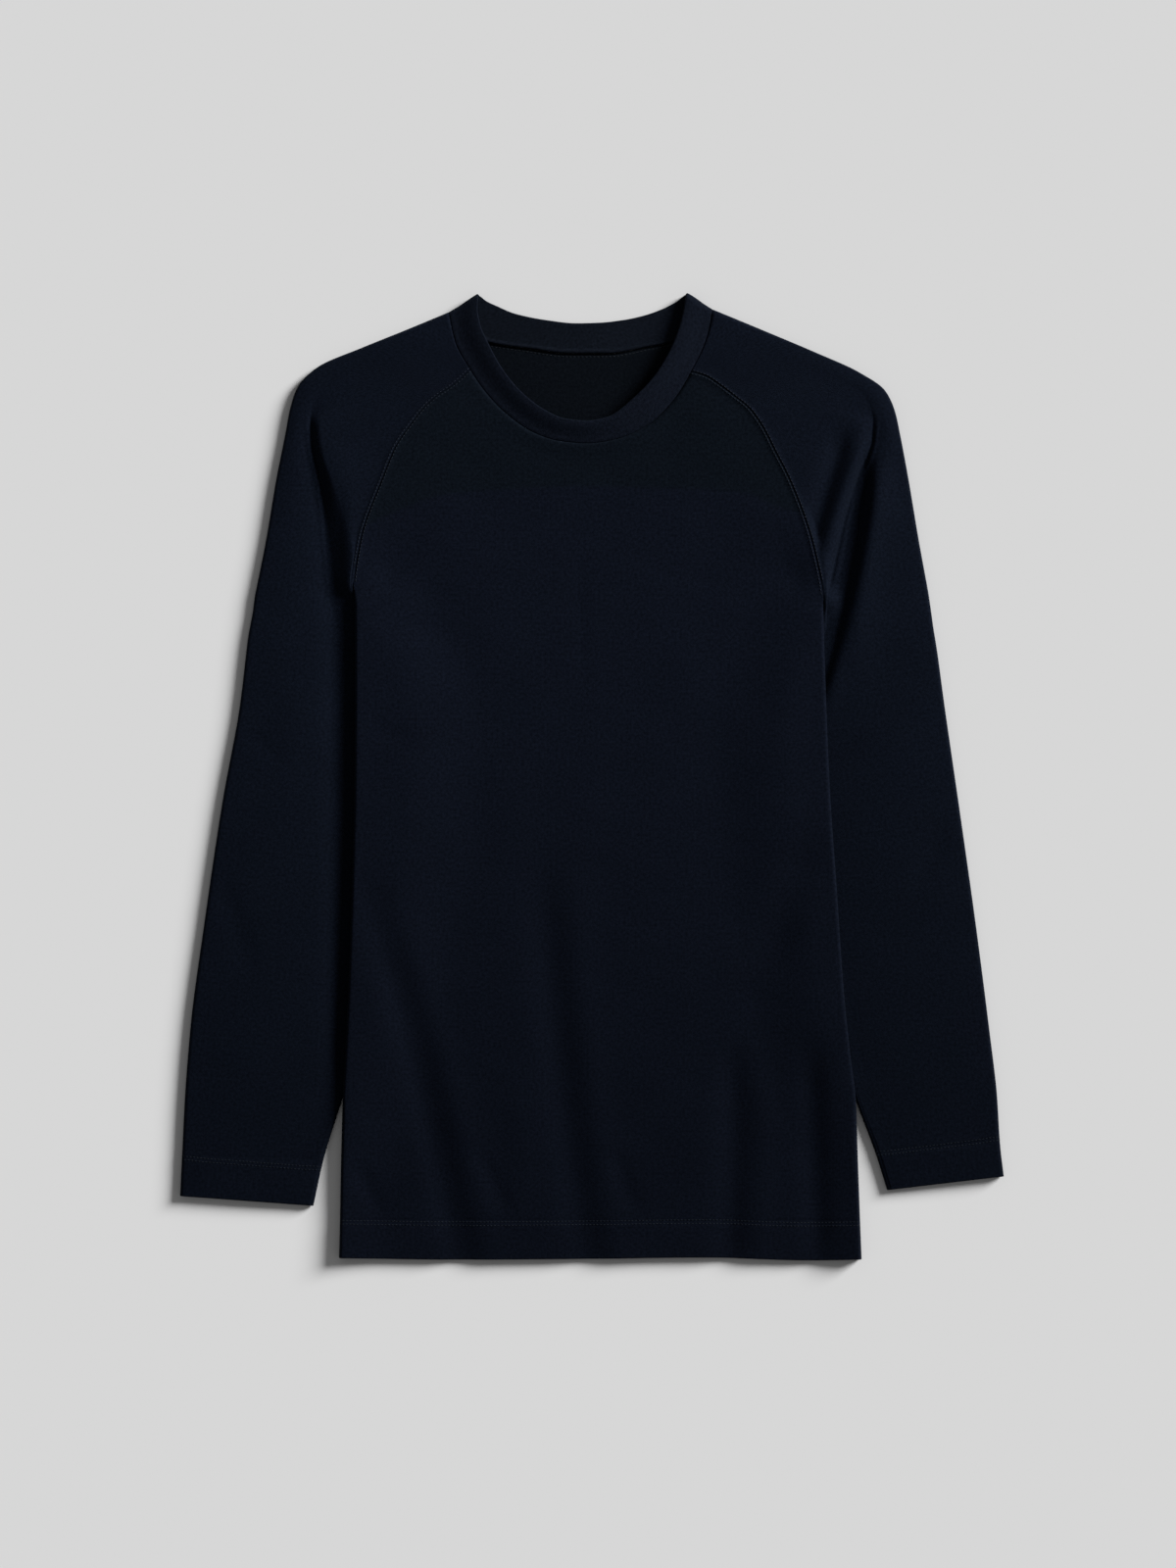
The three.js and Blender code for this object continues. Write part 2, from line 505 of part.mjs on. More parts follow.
// Front and back share their sections. Each runs from side to side, below the underarm between two folds and
// above it between two raglan seams, and bends towards the neck seam as it nears the top.
function panel(layer, columns) {
  const front = layer === 'front';
  const up = front ? 1 : -1;
  const slope = front ? FRONT_SLOPE : BACK_SLOPE;
  const half = front ? neckFront : neckBack;
  const ends = (front ? FRONT_SEAM_ROWS : [...BACK_SEAM_ROWS].reverse()).map((row) => half.knots[row]);
  const shares = Array.from({ length: columns + 1 }, (_, k) => k / columns);

  const section = ({ v, raglan }) => {
    const rise = raglan ? (v - UNDERARM) / SHOULDER_ROWS : 0;
    const bend = 1 - (1 - rise) ** 2;
    const hem = !raglan && v <= HEM_LINE ? 1 : 0;
    const thick = CLOTH + HEM_EXTRA * hem;
    const bodySide = { left: [body.leftX, body.leftY], right: [body.rightX, body.rightY] };
    const [left, right] = ['left', 'right'].map((side) => (raglan
      ? raglanPlace(side, layer, v, -1)
      : new THREE.Vector2(...bodySide[side].map((curve) => curve(v)))));
    const width = left.distanceTo(right);
    const wave = raglan ? 0 : Math.max(0, 1 - v / HEM_LINE);
    const middle = raglan ? lerp(body.middle(BODY_TOP), CHEST_MIDDLE, rise) : body.middle(v);

    const plan = (share) => {
      const flat = left.clone().lerp(right, share);
      flat.y -= wave * hemWave(share);
      if (!raglan) return flat;
      const s = lerp(ends[0], ends[1], share);
      const top = new THREE.Vector2(half.seamX(s), half.seamY(s));
      const topLeft = new THREE.Vector2(half.seamX(ends[0]), half.seamY(ends[0]));
      const topRight = new THREE.Vector2(half.seamX(ends[1]), half.seamY(ends[1]));
      return flat.add(top.sub(topLeft.lerp(topRight, share)).multiplyScalar(bend));
    };
    const height = (x, y, share) => {
      const under = underBody(x, y, slope);
      if (!front) return under;
      const seamLevel = (side, place) => sleeves[side].seam(v) - underBody(place.x, place.y);
      const side = raglan ? lerp(seamLevel('left', left), seamLevel('right', right), share) : 2 * SIDE_FOLD;
      const bell = smooth(0, SIDE_SHARE, share) * smooth(0, SIDE_SHARE, 1 - share);
      const level = lerp(side, middle, bell) + under - foldDepth(x, y) + HEM_RISE * hem * bell;
      if (!raglan) return level;
      return lerp(level, half.seamZ(lerp(ends[0], ends[1], share)), smooth(NECK_BLEND, 1, rise));
    };
    const at = (share, normal) => {
      if (raglan && v === NECK) {
        return { ...panelAtNeck(half, lerp(ends[0], ends[1], share), RIGHT_ANGLE), thick };
      }
      const { x, y } = plan(share);
      return { at: new THREE.Vector3(x, y, height(x, y, share)), thick, normal };
    };
    const edge = (fromLeft) => FOLD_ANGLES.map((turn, k) => {
      const reach = raglan ? (SEAM_REACH * k) / FOLD_STEPS : SIDE_FOLD * (1 - Math.cos(turn));
      const share = fromLeft ? reach / width : 1 - reach / width;
      if (raglan) return at(share, k === 0 ? UP.clone().multiplyScalar(up) : undefined);
      const { x, y } = plan(share);
      const level = underBody(x, y) + SIDE_FOLD * (1 + up * Math.sin(turn)) + (k === 0 ? up * HALF_GAP : 0);
      const side = new THREE.Vector3(fromLeft ? -1 : 1, 0, 0);
      return { at: new THREE.Vector3(x, y, level), thick, normal: k === 0 ? side : undefined };
    });

    // Columns near a side follow the edge of the sleeve beneath it, and the rest share the middle
    const start = raglan ? SEAM_REACH : SIDE_FOLD;
    const climb = raglan ? BACK_SLOPE : slope;
    const slopes = (tuck) => SLOPE_SHARES.map((share) => tuck + share * climb);
    const sideReach = (tuck) => [lerp(start, tuck, 0.5), ...slopes(tuck)];
    const leftTuck = raglan ? LEAST_TUCK : Math.max(LEAST_TUCK, tuckedEdge('left', left.y) - left.x);
    const rightTuck = raglan ? LEAST_TUCK : Math.max(LEAST_TUCK, right.x - tuckedEdge('right', right.y));
    const from = (leftTuck + climb) / width;
    const to = 1 - (rightTuck + climb) / width;
    const inside = [
      ...sideReach(leftTuck).map((reach) => reach / width),
      ...shares.map((share) => lerp(from, to, share)),
      ...sideReach(rightTuck).map((reach) => 1 - reach / width).reverse(),
    ];
    return [...edge(true), ...inside.map((share) => at(share)), ...edge(false).reverse()];
  };
  const numbers = [
    ...BODY_STATIONS.map((v) => ({ v, raglan: false })),
    ...SHOULDER_STATIONS.slice(1).map((v) => ({ v, raglan: true })),
  ];
  return wall(numbers.map(section), { facing: up });
}

function neckband() {
  const around = (half) => {
    const flatLength = half.length - 2 * ARM_FOLD;
    const count = Math.round(flatLength / BAND_STEP);
    const flats = Array.from({ length: count - 1 }, (_, k) => ARM_FOLD + (flatLength * (k + 1)) / count);
    const bends = FOLD_ANGLES.map((turn) => ({ s: ARM_FOLD * (1 - Math.cos(turn)), turn }));
    return [
      ...bends,
      ...flats.map((s) => ({ s, turn: RIGHT_ANGLE })),
      ...bends.slice(1).reverse().map(({ s, turn }) => ({ s: half.length - s, turn })),
    ].map((station) => ({ half, ...station }));
  };
  const grid = [...around(neckFront), ...around(neckBack)].map(({ half, s, turn }) => {
    const { along, normal } = neckFrame(half, s, turn);
    return BAND_SECTION.map(({ at, rise, thick }) => {
      const stand = half.up > 0 ? rise : Math.min(rise, 0);
      const place = neckPlace(half, s, turn, at).addScaledVector(along, HALF_GAP * (1 - at));
      return { at: place.addScaledVector(normal, stand), thick, normal };
    });
  });
  return wall(grid, { ring: true });
}

const PIECES = {
  back: { shape: () => panel('back', BACK_COLUMNS), colour: CLOTH_COLOUR },
  sleeve_left: { shape: () => sleeve('left'), colour: CLOTH_COLOUR },
  sleeve_right: { shape: () => sleeve('right'), colour: CLOTH_COLOUR },
  front: { shape: () => panel('front', FRONT_COLUMNS), colour: CLOTH_COLOUR },
  neckband: { shape: neckband, colour: BAND_COLOUR },
};

const part = new THREE.Group();
for (const [name, { shape, colour }] of Object.entries(PIECES)) {
  const material = new THREE.MeshStandardMaterial({ color: colour, roughness: 0.85, metalness: 0 });
  const mesh = new THREE.Mesh(shape(), material);
  mesh.name = name;
  part.add(mesh);
}

export default part;
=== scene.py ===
"""Long-sleeved raglan thermal top in very dark navy, laid flat on its back with its sleeves beside it.

Every piece of cloth is a thin closed shell, worked out with numpy from the same tables and curves as the
solid that it stands for, on a much finer grid and with the smaller creases, seams and hems added. Tables and
cloth sizes are in millimetres, and places become metres when a mesh is made. X runs to the right as seen from
above, Y towards the collar and Z up from the surface that the top lies on.
"""

import logging
import math
from dataclasses import dataclass, field
from enum import Enum

import bmesh
import bpy
import numpy as np
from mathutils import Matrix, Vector


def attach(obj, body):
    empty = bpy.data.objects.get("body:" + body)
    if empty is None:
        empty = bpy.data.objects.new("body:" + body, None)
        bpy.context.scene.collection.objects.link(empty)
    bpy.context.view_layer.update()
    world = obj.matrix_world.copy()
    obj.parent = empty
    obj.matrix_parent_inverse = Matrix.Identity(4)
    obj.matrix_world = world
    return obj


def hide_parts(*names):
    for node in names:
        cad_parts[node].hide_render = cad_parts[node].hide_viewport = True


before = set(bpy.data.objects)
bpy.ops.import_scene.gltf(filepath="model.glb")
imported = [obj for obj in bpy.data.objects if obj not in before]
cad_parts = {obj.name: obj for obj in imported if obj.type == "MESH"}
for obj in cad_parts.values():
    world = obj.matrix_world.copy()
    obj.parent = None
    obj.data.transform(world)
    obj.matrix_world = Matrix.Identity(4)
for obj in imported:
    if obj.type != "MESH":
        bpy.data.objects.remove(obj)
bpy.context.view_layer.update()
LOG = logging.getLogger("thermal_top")

Array = np.ndarray
Point = tuple[float, float]
Span = tuple[float, float]

MM = 0.001
RIGHT_ANGLE = math.pi / 2
UP = np.array([0.0, 0.0, 1.0])
BODY = "root"
TINY = 1e-6

# Cloth
CLOTH = 1.15
BAND = 2.3
HEM_EXTRA = 0.65
HEM_RISE = 0.4
HALF_GAP = 0.06
EDGE_ROUND = 0.9

# Rows that are added to the even ones, as running numbers of the sections: close together at a hem's folded
# edge and on both sides of its stitch line, above which the hem's thickness ends
EDGE_ROWS = np.linspace(0, 0.06, 5)
STITCH_ROWS = np.linspace(-0.1, 0.1, 9)
HEM_END = 0.05

# How far above the underarm the seam's relief comes up, and how far apart the sections are that give the
# seam's direction
SEAM_FADE = 0.6
NEARBY = 0.1

# Samples for measuring a curve, and places along a crease
CURVE_SAMPLES = 400
CREASE_PLACES = 13

# The waves that make cloth uneven: how many, and the span of their lengths
RIPPLE_WAVES = 8
RIPPLE_LENGTHS = (25, 90)

# Folds that close the flattened tubes, as radii
ARM_FOLD = 3.0
SIDE_FOLD = 2.6
SEAM_REACH = 2.0
UNDERARM_RISE = 0.8
NECK_BLEND = 0.7

# How the body's sides climb over the tucked sleeves
LIFT = 4.9
BACK_SLOPE = 12.0
FRONT_SLOPE = 60.0
LIFT_START = 22.0
LIFT_FULL = 12.0
SIDE_SHARE = 0.36

# Sections of a sleeve from the cuff to the neck. outer is the fold along the arm and the shoulder. inner is
# the fold beside the body up to the underarm, and from there the front raglan seam; back is the back raglan
# seam. crease is the foot of the shoulder crease, as a share of the way from outer to inner, and fold the
# radius of the inner fold. Heights are of the upper layer: seam at the inner edge, shoulder inside the
# crease, dip at its foot and crown half way along the arm side.
SLEEVE_COLUMNS = ("outer_x", "outer_y", "inner_x", "inner_y", "back_x", "back_y", "crease", "fold", "seam",
                  "shoulder", "dip", "crown")
SLEEVE_ROWS = {
    "left": (
        (-304.3, -309.4, -205.8, -316.7, -205.8, -316.7, 0.88, 2.2, 4.4, 4.9, 5.0, 5.7),
        (-302.9, -281.1, -198.5, -283.3, -198.5, -283.3, 0.88, 2.2, 4.4, 4.9, 5.0, 5.8),
        (-300.7, -236.9, -186.2, -243.5, -186.2, -243.5, 0.89, 2.1, 4.2, 4.4, 4.6, 6.2),
        (-296.4, -182.6, -171.0, -195.6, -171.0, -195.6, 0.87, 2.1, 4.2, 4.2, 4.2, 6.5),
        (-286.2, -106.5, -156.5, -123.2, -156.5, -123.2, 0.80, 2.1, 4.2, 4.2, 4.0, 6.6),
        (-273.2, -19.6, -140.6, -36.2, -140.6, -36.2, 0.71, 2.1, 4.2, 4.2, 3.9, 6.6),
        (-260.1, 52.9, -137.7, 35.5, -137.7, 35.5, 0.67, 2.1, 4.2, 4.2, 3.8, 6.6),
        (-254.0, 103.6, -151.4, 87.7, -151.4, 87.7, 0.73, 2.0, 4.0, 4.0, 3.7, 6.6),
        (-250.7, 121.7, -168.8, 111.6, -168.8, 111.6, 0.84, 1.9, 3.8, 3.8, 3.7, 6.6),
        (-249.0, 134.1, -174.2, 131.2, -174.2, 131.2, 0.80, 1.8, 5.2, 5.2, 3.6, 6.6),
        (-247.1, 143.5, -175.9, 141.3, -175.9, 141.3, 0.77, 1.8, 9.2, 9.2, 3.8, 6.6),
        (-240.6, 176.1, -170.3, 177.5, -172.5, 176.1, 0.635, 0, 8.8, 9.2, 4.0, 6.6),
        (-233.3, 219.6, -155.1, 219.6, -163.8, 216.7, 0.415, 0, 8.4, 9.2, 4.7, 6.8),
        (-226.8, 252.2, -144.9, 244.2, -154.3, 242.7, 0.24, 0, 8.2, 8.6, 5.2, 6.8),
        (-223.0, 272.4, -133.7, 260.9, -144.9, 261.6, 0.18, 0, 8.0, 8.0, 6.0, 6.8),
        (-217.4, 288.4, -123.2, 273.9, -134.8, 276.8, 0.17, 0, 7.8, 7.6, 6.6, 6.8),
        (-202.2, 303.2, -114.5, 281.5, -123.9, 289.8, 0.20, 0, 7.6, 7.4, 6.8, 6.7),
        (-169.6, 317.4, -105.1, 287.7, -113.0, 302.9, 0.22, 0, 7.5, 7.3, 6.8, 6.6),
        (-136.9, 330.6, -97.1, 294.2, -102.2, 315.9, 0.22, 0, 7.4, 7.2, 6.7, 6.5),
        (-105.8, 343.5, -89.9, 300.7, -91.3, 328.2, 0.23, 0, 7.4, 7.0, 6.6, 6.4),
    ),
    "right": (
        (304.3, -294.9, 218.1, -305.1, 218.1, -305.1, 0.88, 2.2, 4.4, 4.9, 5.0, 5.7),
        (301.4, -269.6, 209.4, -277.5, 209.4, -277.5, 0.88, 2.2, 4.4, 4.9, 5.0, 5.8),
        (299.3, -235.5, 194.9, -238.4, 194.9, -238.4, 0.89, 2.1, 4.2, 4.4, 4.6, 6.2),
        (293.1, -182.6, 179.7, -186.2, 179.7, -186.2, 0.88, 2.1, 4.2, 4.2, 4.3, 6.5),
        (283.3, -106.5, 163.8, -113.8, 163.8, -113.8, 0.84, 2.1, 4.2, 4.2, 4.2, 6.6),
        (271.0, -19.6, 150.7, -30.4, 150.7, -30.4, 0.78, 2.1, 4.2, 4.2, 4.1, 6.6),
        (260.5, 52.9, 145.6, 37.0, 145.6, 37.0, 0.76, 2.1, 4.2, 4.2, 4.0, 6.6),
        (255.1, 92.7, 152.9, 78.3, 152.9, 78.3, 0.79, 2.0, 4.0, 4.0, 3.8, 6.6),
        (252.2, 110.9, 165.2, 102.2, 165.2, 102.2, 0.87, 1.9, 3.8, 3.8, 3.7, 6.6),
        (250.7, 121.7, 170.2, 119.6, 170.2, 119.6, 0.955, 1.8, 5.2, 5.2, 3.6, 6.6),
        (248.9, 134.1, 171.0, 131.2, 171.0, 131.2, 0.955, 1.8, 9.2, 9.2, 3.8, 6.6),
        (241.3, 176.1, 162.3, 173.9, 165.2, 172.5, 0.735, 0, 8.8, 9.2, 4.2, 6.6),
        (234.0, 219.6, 146.4, 218.1, 152.9, 214.5, 0.43, 0, 8.4, 9.2, 4.6, 6.8),
        (227.9, 252.2, 135.5, 239.8, 142.7, 239.8, 0.225, 0, 8.2, 8.6, 5.2, 6.8),
        (223.9, 270.3, 125.4, 259.4, 132.6, 258.7, 0.17, 0, 8.0, 8.0, 6.0, 6.8),
        (216.7, 285.5, 115.2, 273.2, 121.7, 275.3, 0.16, 0, 7.8, 7.6, 6.6, 6.8),
        (197.1, 299.3, 105.8, 280.8, 110.1, 289.1, 0.19, 0, 7.6, 7.4, 6.8, 6.7),
        (165.2, 313.8, 94.9, 289.1, 98.5, 302.2, 0.21, 0, 7.5, 7.3, 6.8, 6.6),
        (127.5, 329.7, 84.1, 296.0, 86.2, 315.2, 0.22, 0, 7.4, 7.2, 6.7, 6.5),
        (89.1, 345.6, 73.2, 299.3, 73.9, 327.5, 0.23, 0, 7.4, 7.0, 6.6, 6.4),
    ),
}
CUFF_LINE = 1
UNDERARM = 10
NECK = 19

# Sections of the body from the hem to the underarm: its side edges and the height of the front's middle
BODY_COLUMNS = ("left_x", "left_y", "right_x", "right_y", "middle")
BODY_ROWS = (
    (-186.9, -355.1, 199.3, -356.1, 5.4),
    (-186.2, -328.2, 198.2, -329.0, 5.6),
    (-185.5, -287.7, 196.7, -287.7, 5.8),
    (-184.0, -240.6, 194.9, -240.6, 6.0),
    (-181.9, -200.7, 190.2, -200.7, 6.1),
    (-179.7, -152.9, 185.5, -152.9, 6.2),
    (-177.2, -79.0, 180.4, -79.0, 6.3),
    (-175.4, -5.8, 175.4, -5.8, 6.4),
    (-175.0, 67.4, 172.5, 65.9, 6.5),
    (-175.0, 103.6, 171.4, 100.0, 6.6),
    (-175.1, 123.9, 171.0, 116.7, 6.6),
    (-175.4, 141.3, 170.5, 131.2, 6.7),
)
BODY_TOP = len(BODY_ROWS) - 1
HEM_LINE = 1
CHEST_MIDDLE = 7.4
HEM_WAVE = ((0, 0), (0.2, 1.1), (0.45, 0.4), (0.7, -0.9), (0.9, 1.0), (1, 0))

# The neckband from the left shoulder round the front to the right one, and back round the neck: its seam,
# its free edge, and the heights of both on the outer face
NECK_COLUMNS = ("seam_x", "seam_y", "edge_x", "edge_y", "seam_z", "edge_z")
NECK_FRONT = (
    (-105.8, 343.5, -83.7, 356.5, 6.2, 6.2),
    (-103.3, 330.4, -84.4, 346.4, 6.5, 6.8),
    (-100.4, 319.5, -82.6, 334.8, 6.9, 7.6),
    (-89.9, 300.7, -76.1, 319.5, 7.4, 8.3),
    (-79.0, 284.8, -66.7, 302.2, 7.7, 8.7),
    (-63.0, 268.1, -52.9, 285.1, 7.9, 8.9),
    (-42.8, 254.3, -35.5, 271.4, 8.0, 9.0),
    (-23.9, 248.2, -19.6, 264.5, 8.0, 9.0),
    (-3.6, 246.4, -3.6, 263.0, 8.0, 9.0),
    (15.2, 248.9, 11.6, 265.9, 8.0, 9.0),
    (39.1, 258.7, 29.7, 279.0, 8.0, 9.0),
    (59.4, 277.5, 45.6, 295.6, 7.8, 8.8),
    (73.2, 299.3, 56.5, 313.0, 7.4, 8.4),
    (82.6, 318.1, 63.8, 330.4, 6.9, 7.6),
    (87.0, 332.6, 67.4, 344.2, 6.5, 6.8),
    (89.1, 345.6, 69.6, 357.2, 6.2, 6.2),
)
NECK_BACK = (
    (89.1, 345.6, 69.6, 357.2, 0, 0),
    (81.9, 334.8, 62.3, 351.4, 0, 0),
    (73.9, 327.5, 53.6, 346.7, 0, 0),
    (59.4, 321.7, 39.9, 341.6, 0, 0),
    (42.0, 318.1, 23.9, 338.0, 0, 0),
    (10.9, 313.0, 5.1, 335.9, 0, 0),
    (-15.9, 313.0, -11.6, 335.5, 0, 0),
    (-47.8, 316.7, -34.8, 338.0, 0, 0),
    (-76.1, 321.0, -57.2, 342.7, 0, 0),
    (-91.3, 328.2, -70.3, 348.2, 0, 0),
    (-99.3, 334.8, -77.9, 351.8, 0, 0),
    (-105.8, 343.5, -83.7, 356.5, 0, 0),
)
FRONT_SEAM_ROWS = (3, 12)
BACK_SEAM_ROWS = (2, 9)


class Side(Enum):
    """A side of the garment as seen in the photograph."""

    LEFT = "left"
    RIGHT = "right"


class Layer(Enum):
    """The front or the back of the garment, with the way in which its outer face looks."""

    FRONT = 1
    BACK = -1


def lerp(start: Array | float, end: Array | float, share: Array | float) -> Array:
    """start + (end - start) times share."""
    return start + (end - start) * share


def smooth(low: float, high: float, x: Array | float) -> Array:
    """0 below low, 1 above high, and between them t squared times (3 - 2 t)."""
    t = np.clip((np.asarray(x, float) - low) / (high - low), 0.0, 1.0)
    return t * t * (3 - 2 * t)


def unit(vectors: Array) -> Array:
    """The same vectors at length 1."""
    length = np.linalg.norm(vectors, axis=-1, keepdims=True)
    return vectors / np.maximum(length, 1e-12)


def upright(plan: Array) -> Array:
    """Plan vectors as vectors in space, with no height."""
    return np.concatenate([plan, np.zeros(plan.shape[:-1] + (1,))], axis=-1)


def run_along(places: Array) -> Array:
    """The length run along each line of places from its first one; a line is the last axis but one."""
    steps = np.linalg.norm(np.diff(places, axis=-2), axis=-1)
    return np.concatenate([np.zeros(steps.shape[:-1] + (1,)), np.cumsum(steps, axis=-1)], axis=-1)


class Curve:
    """A monotone cubic curve through values at rising knots.

    Between two knots it is a Hermite cubic. Its slope at a knot is the harmonic mean of the secants on both
    sides, or 0 where they change sign, so it never overshoots.
    """

    def __init__(self, knots: Array, values: Array) -> None:
        """Works out the slopes.

        Args:
            knots: rising places along the curve.
            values: the value at each knot.
        """
        self.knots = np.asarray(knots, float)
        self.values = np.asarray(values, float)
        secants = np.diff(self.values) / np.diff(self.knots)
        before, after = secants[:-1], secants[1:]
        same = before * after > 0
        total = np.where(same, before + after, 1.0)
        inner = np.where(same, 2 * before * after / total, 0.0)
        self.slopes = np.concatenate([secants[:1], inner, secants[-1:]])

    def __call__(self, x: Array | float) -> Array:
        """The curve's value.

        Args:
            x: places along the curve.

        Returns:
            The value at each place.
        """
        x = np.asarray(x, float)
        i = np.clip(np.searchsorted(self.knots, x) - 1, 0, len(self.knots) - 2)
        span = self.knots[i + 1] - self.knots[i]
        t = (x - self.knots[i]) / span
        rise = t * t * (3 - 2 * t)
        bend = self.slopes[i] * t * (1 - t) ** 2 - self.slopes[i + 1] * t * t * (1 - t)
        return self.values[i] * (1 - rise) + self.values[i + 1] * rise + span * bend


def curves(columns: tuple[str, ...], rows: tuple, knots: Array) -> dict[str, Curve]:
    """A curve through each column of a table.

    Args:
        columns: the columns' names.
        rows: the table's rows.
        knots: a rising number for each row.

    Returns:
        The curves by the names of their columns.
    """
    table = np.array(rows, float)
    return {name: Curve(knots, table[:, c]) for c, name in enumerate(columns)}


def plan_of(table: dict[str, Curve], name: str, v: Array | float) -> Array:
    """Plan places of a table's named point at running numbers."""
    return np.stack([table[f"{name}_x"](v), table[f"{name}_y"](v)], axis=-1)


def even_numbers(table: dict[str, Curve], name: str, first: float, last: float, step: float) -> Array:
    """Running numbers that lie evenly along the plan curve of a table's named point.

    Args:
        table: the table's curves.
        name: the point.
        first: the first running number.
        last: the last one.
        step: the spacing along the curve, in millimetres.

    Returns:
        Rising running numbers with both ends.
    """
    fine = np.linspace(first, last, CURVE_SAMPLES)
    length = run_along(plan_of(table, name, fine))
    count = max(2, round(length[-1] / step) + 1)
    return np.interp(np.linspace(0, length[-1], count), length, fine)


def with_hem_rows(numbers: Array, stitch_line: float) -> Array:
    """Running numbers with more of them at a hem's folded edge and at its stitch line."""
    return np.unique(np.concatenate([numbers, EDGE_ROWS, stitch_line + STITCH_ROWS]))


@dataclass(frozen=True)
class Crease:
    """A soft trough in the cloth, or a ridge where its depth is below 0.

    Its middle line is a curve through three places. Its depth falls off to each side as a bell of its own
    width and fades towards both ends.
    """

    start: Point
    middle: Point
    end: Point
    depth: float
    wide: float
    wide_right: float
    fade: float

    def path(self) -> Array:
        """The middle line: a quadratic curve through start, middle and end.

        Returns:
            Places along it.
        """
        t = np.linspace(0, 1, CREASE_PLACES)[:, None]
        a, b, c = (np.array(p, float) for p in (self.start, self.middle, self.end))
        return a * (1 - t) * (1 - 2 * t) + b * 4 * t * (1 - t) + c * t * (2 * t - 1)

    def sink(self, x: Array, y: Array) -> Array:
        """How far the cloth sinks at places in the plan.

        Args:
            x: the places' X in millimetres.
            y: their Y.

        Returns:
            depth * exp(-(distance / width)^2), faded over the share named fade at both ends.
        """
        path = self.path()
        best = np.full(x.shape, np.inf)
        along = np.zeros(x.shape)
        side = np.zeros(x.shape)
        pieces = len(path) - 1
        for k in range(pieces):
            ax, ay = path[k]
            dx, dy = path[k + 1] - path[k]
            share = np.clip(((x - ax) * dx + (y - ay) * dy) / (dx * dx + dy * dy), 0, 1)
            gap_x, gap_y = x - ax - share * dx, y - ay - share * dy
            distance = np.hypot(gap_x, gap_y)
            nearer = distance < best
            best = np.where(nearer, distance, best)
            along = np.where(nearer, (k + share) / pieces, along)
            side = np.where(nearer, gap_x * -dy + gap_y * dx, side)
        wide = np.where(side < 0, self.wide_right, self.wide)
        ends = smooth(0, self.fade, along) * smooth(0, self.fade, 1 - along)
        return self.depth * np.exp(-((best / wide) ** 2)) * ends


def sink_of(creases: tuple[Crease, ...], x: Array, y: Array) -> Array:
    """The sum of what all creases sink at places in the plan.

    Args:
        creases: the creases.
        x: the places' X in millimetres.
        y: their Y.

    Returns:
        How far the cloth sinks at each place.
    """
    total = np.zeros(x.shape)
    for crease in creases:
        total += crease.sink(x, y)
    return total


# Folds and creases of each piece, in plan millimetres. The first five of the front are its largest folds.
FRONT_CREASES = (
    Crease((-176, -44), (-124, -237), (-85, -430), 2.5, 15, 11, 0.3),
    Crease((-38, -20), (-23, -225), (10, -430), 2.2, 13, 13, 0.32),
    Crease((103, -180), (104, -280), (99, -390), 2.3, 10, 12, 0.26),
    Crease((160, -180), (164, -280), (168, -390), 2.1, 10, 10, 0.28),
    Crease((163, -35), (145, -95), (126, -155), 2.0, 15, 16, 0.3),
    Crease((-168, 40), (-150, 32), (-120, 24), 0.5, 6, 8, 0.4),
    Crease((-54, 155), (-95, 135), (-134, 107), 0.5, 8, 10, 0.4),
    Crease((-110, 190), (-140, 160), (-160, 120), 0.4, 8, 10, 0.4),
    Crease((-154, -60), (-101, -245), (-63, -430), -1.0, 12, 12, 0.3),
    Crease((-14, -40), (1, -235), (33, -430), -0.9, 12, 12, 0.3),
    Crease((124, -200), (126, -285), (121, -390), -0.7, 9, 9, 0.3),
    Crease((-60, -200), (-52, -270), (-50, -330), -0.5, 9, 12, 0.3),
    Crease((-178, -278), (-165, -303), (-152, -332), 0.8, 6, 7, 0.35),
    Crease((-88, -270), (-72, -300), (-58, -332), 0.8, 6, 7, 0.35),
    Crease((14, -268), (24, -298), (38, -330), 0.7, 6, 7, 0.35),
    Crease((146, 105), (130, 60), (118, 10), 0.35, 12, 14, 0.4),
    Crease((158, 170), (156, 150), (152, 125), 0.6, 8, 7, 0.4),
    Crease((-10, 175), (-8, 120), (-6, 40), 0.35, 5, 6, 0.35),
)
BACK_CREASES = (
    Crease((-120, 150), (-95, 20), (-70, -120), -0.5, 10, 14, 0.3),
    Crease((60, 60), (72, -90), (66, -250), -0.6, 12, 12, 0.3),
    Crease((-20, -60), (-30, -180), (-24, -310), -0.5, 10, 12, 0.3),
)
LEFT_CREASES = (
    Crease((-188, 225), (-186, 5), (-185, -240), 2.2, 7, 11, 0.1),
    Crease((-283, -60), (-262, -110), (-250, -165), 0.7, 8, 11, 0.4),
    Crease((-210, 90), (-222, 20), (-232, -60), -0.7, 16, 18, 0.35),
    Crease((-252, 40), (-240, 20), (-222, 8), 0.4, 6, 8, 0.4),
    Crease((-190, 250), (-185, 225), (-172, 200), -0.3, 9, 9, 0.4),
)
RIGHT_CREASES = (
    Crease((190, 262), (173, 210), (160, 160), 4.0, 6, 9, 0.22),
    Crease((203, 256), (186, 206), (173, 155), -1.6, 5, 5, 0.3),
    Crease((203, 252), (186, 142), (152, 30), 4.3, 6.5, 4.5, 0.2),
    Crease((213, 250), (197, 142), (166, 30), -2.5, 8.5, 6, 0.22),
    Crease((218, 250), (204, 150), (188, 40), -2.2, 13, 8, 0.3),
    Crease((262, -20), (250, -60), (232, -95), 0.6, 8, 10, 0.4),
)


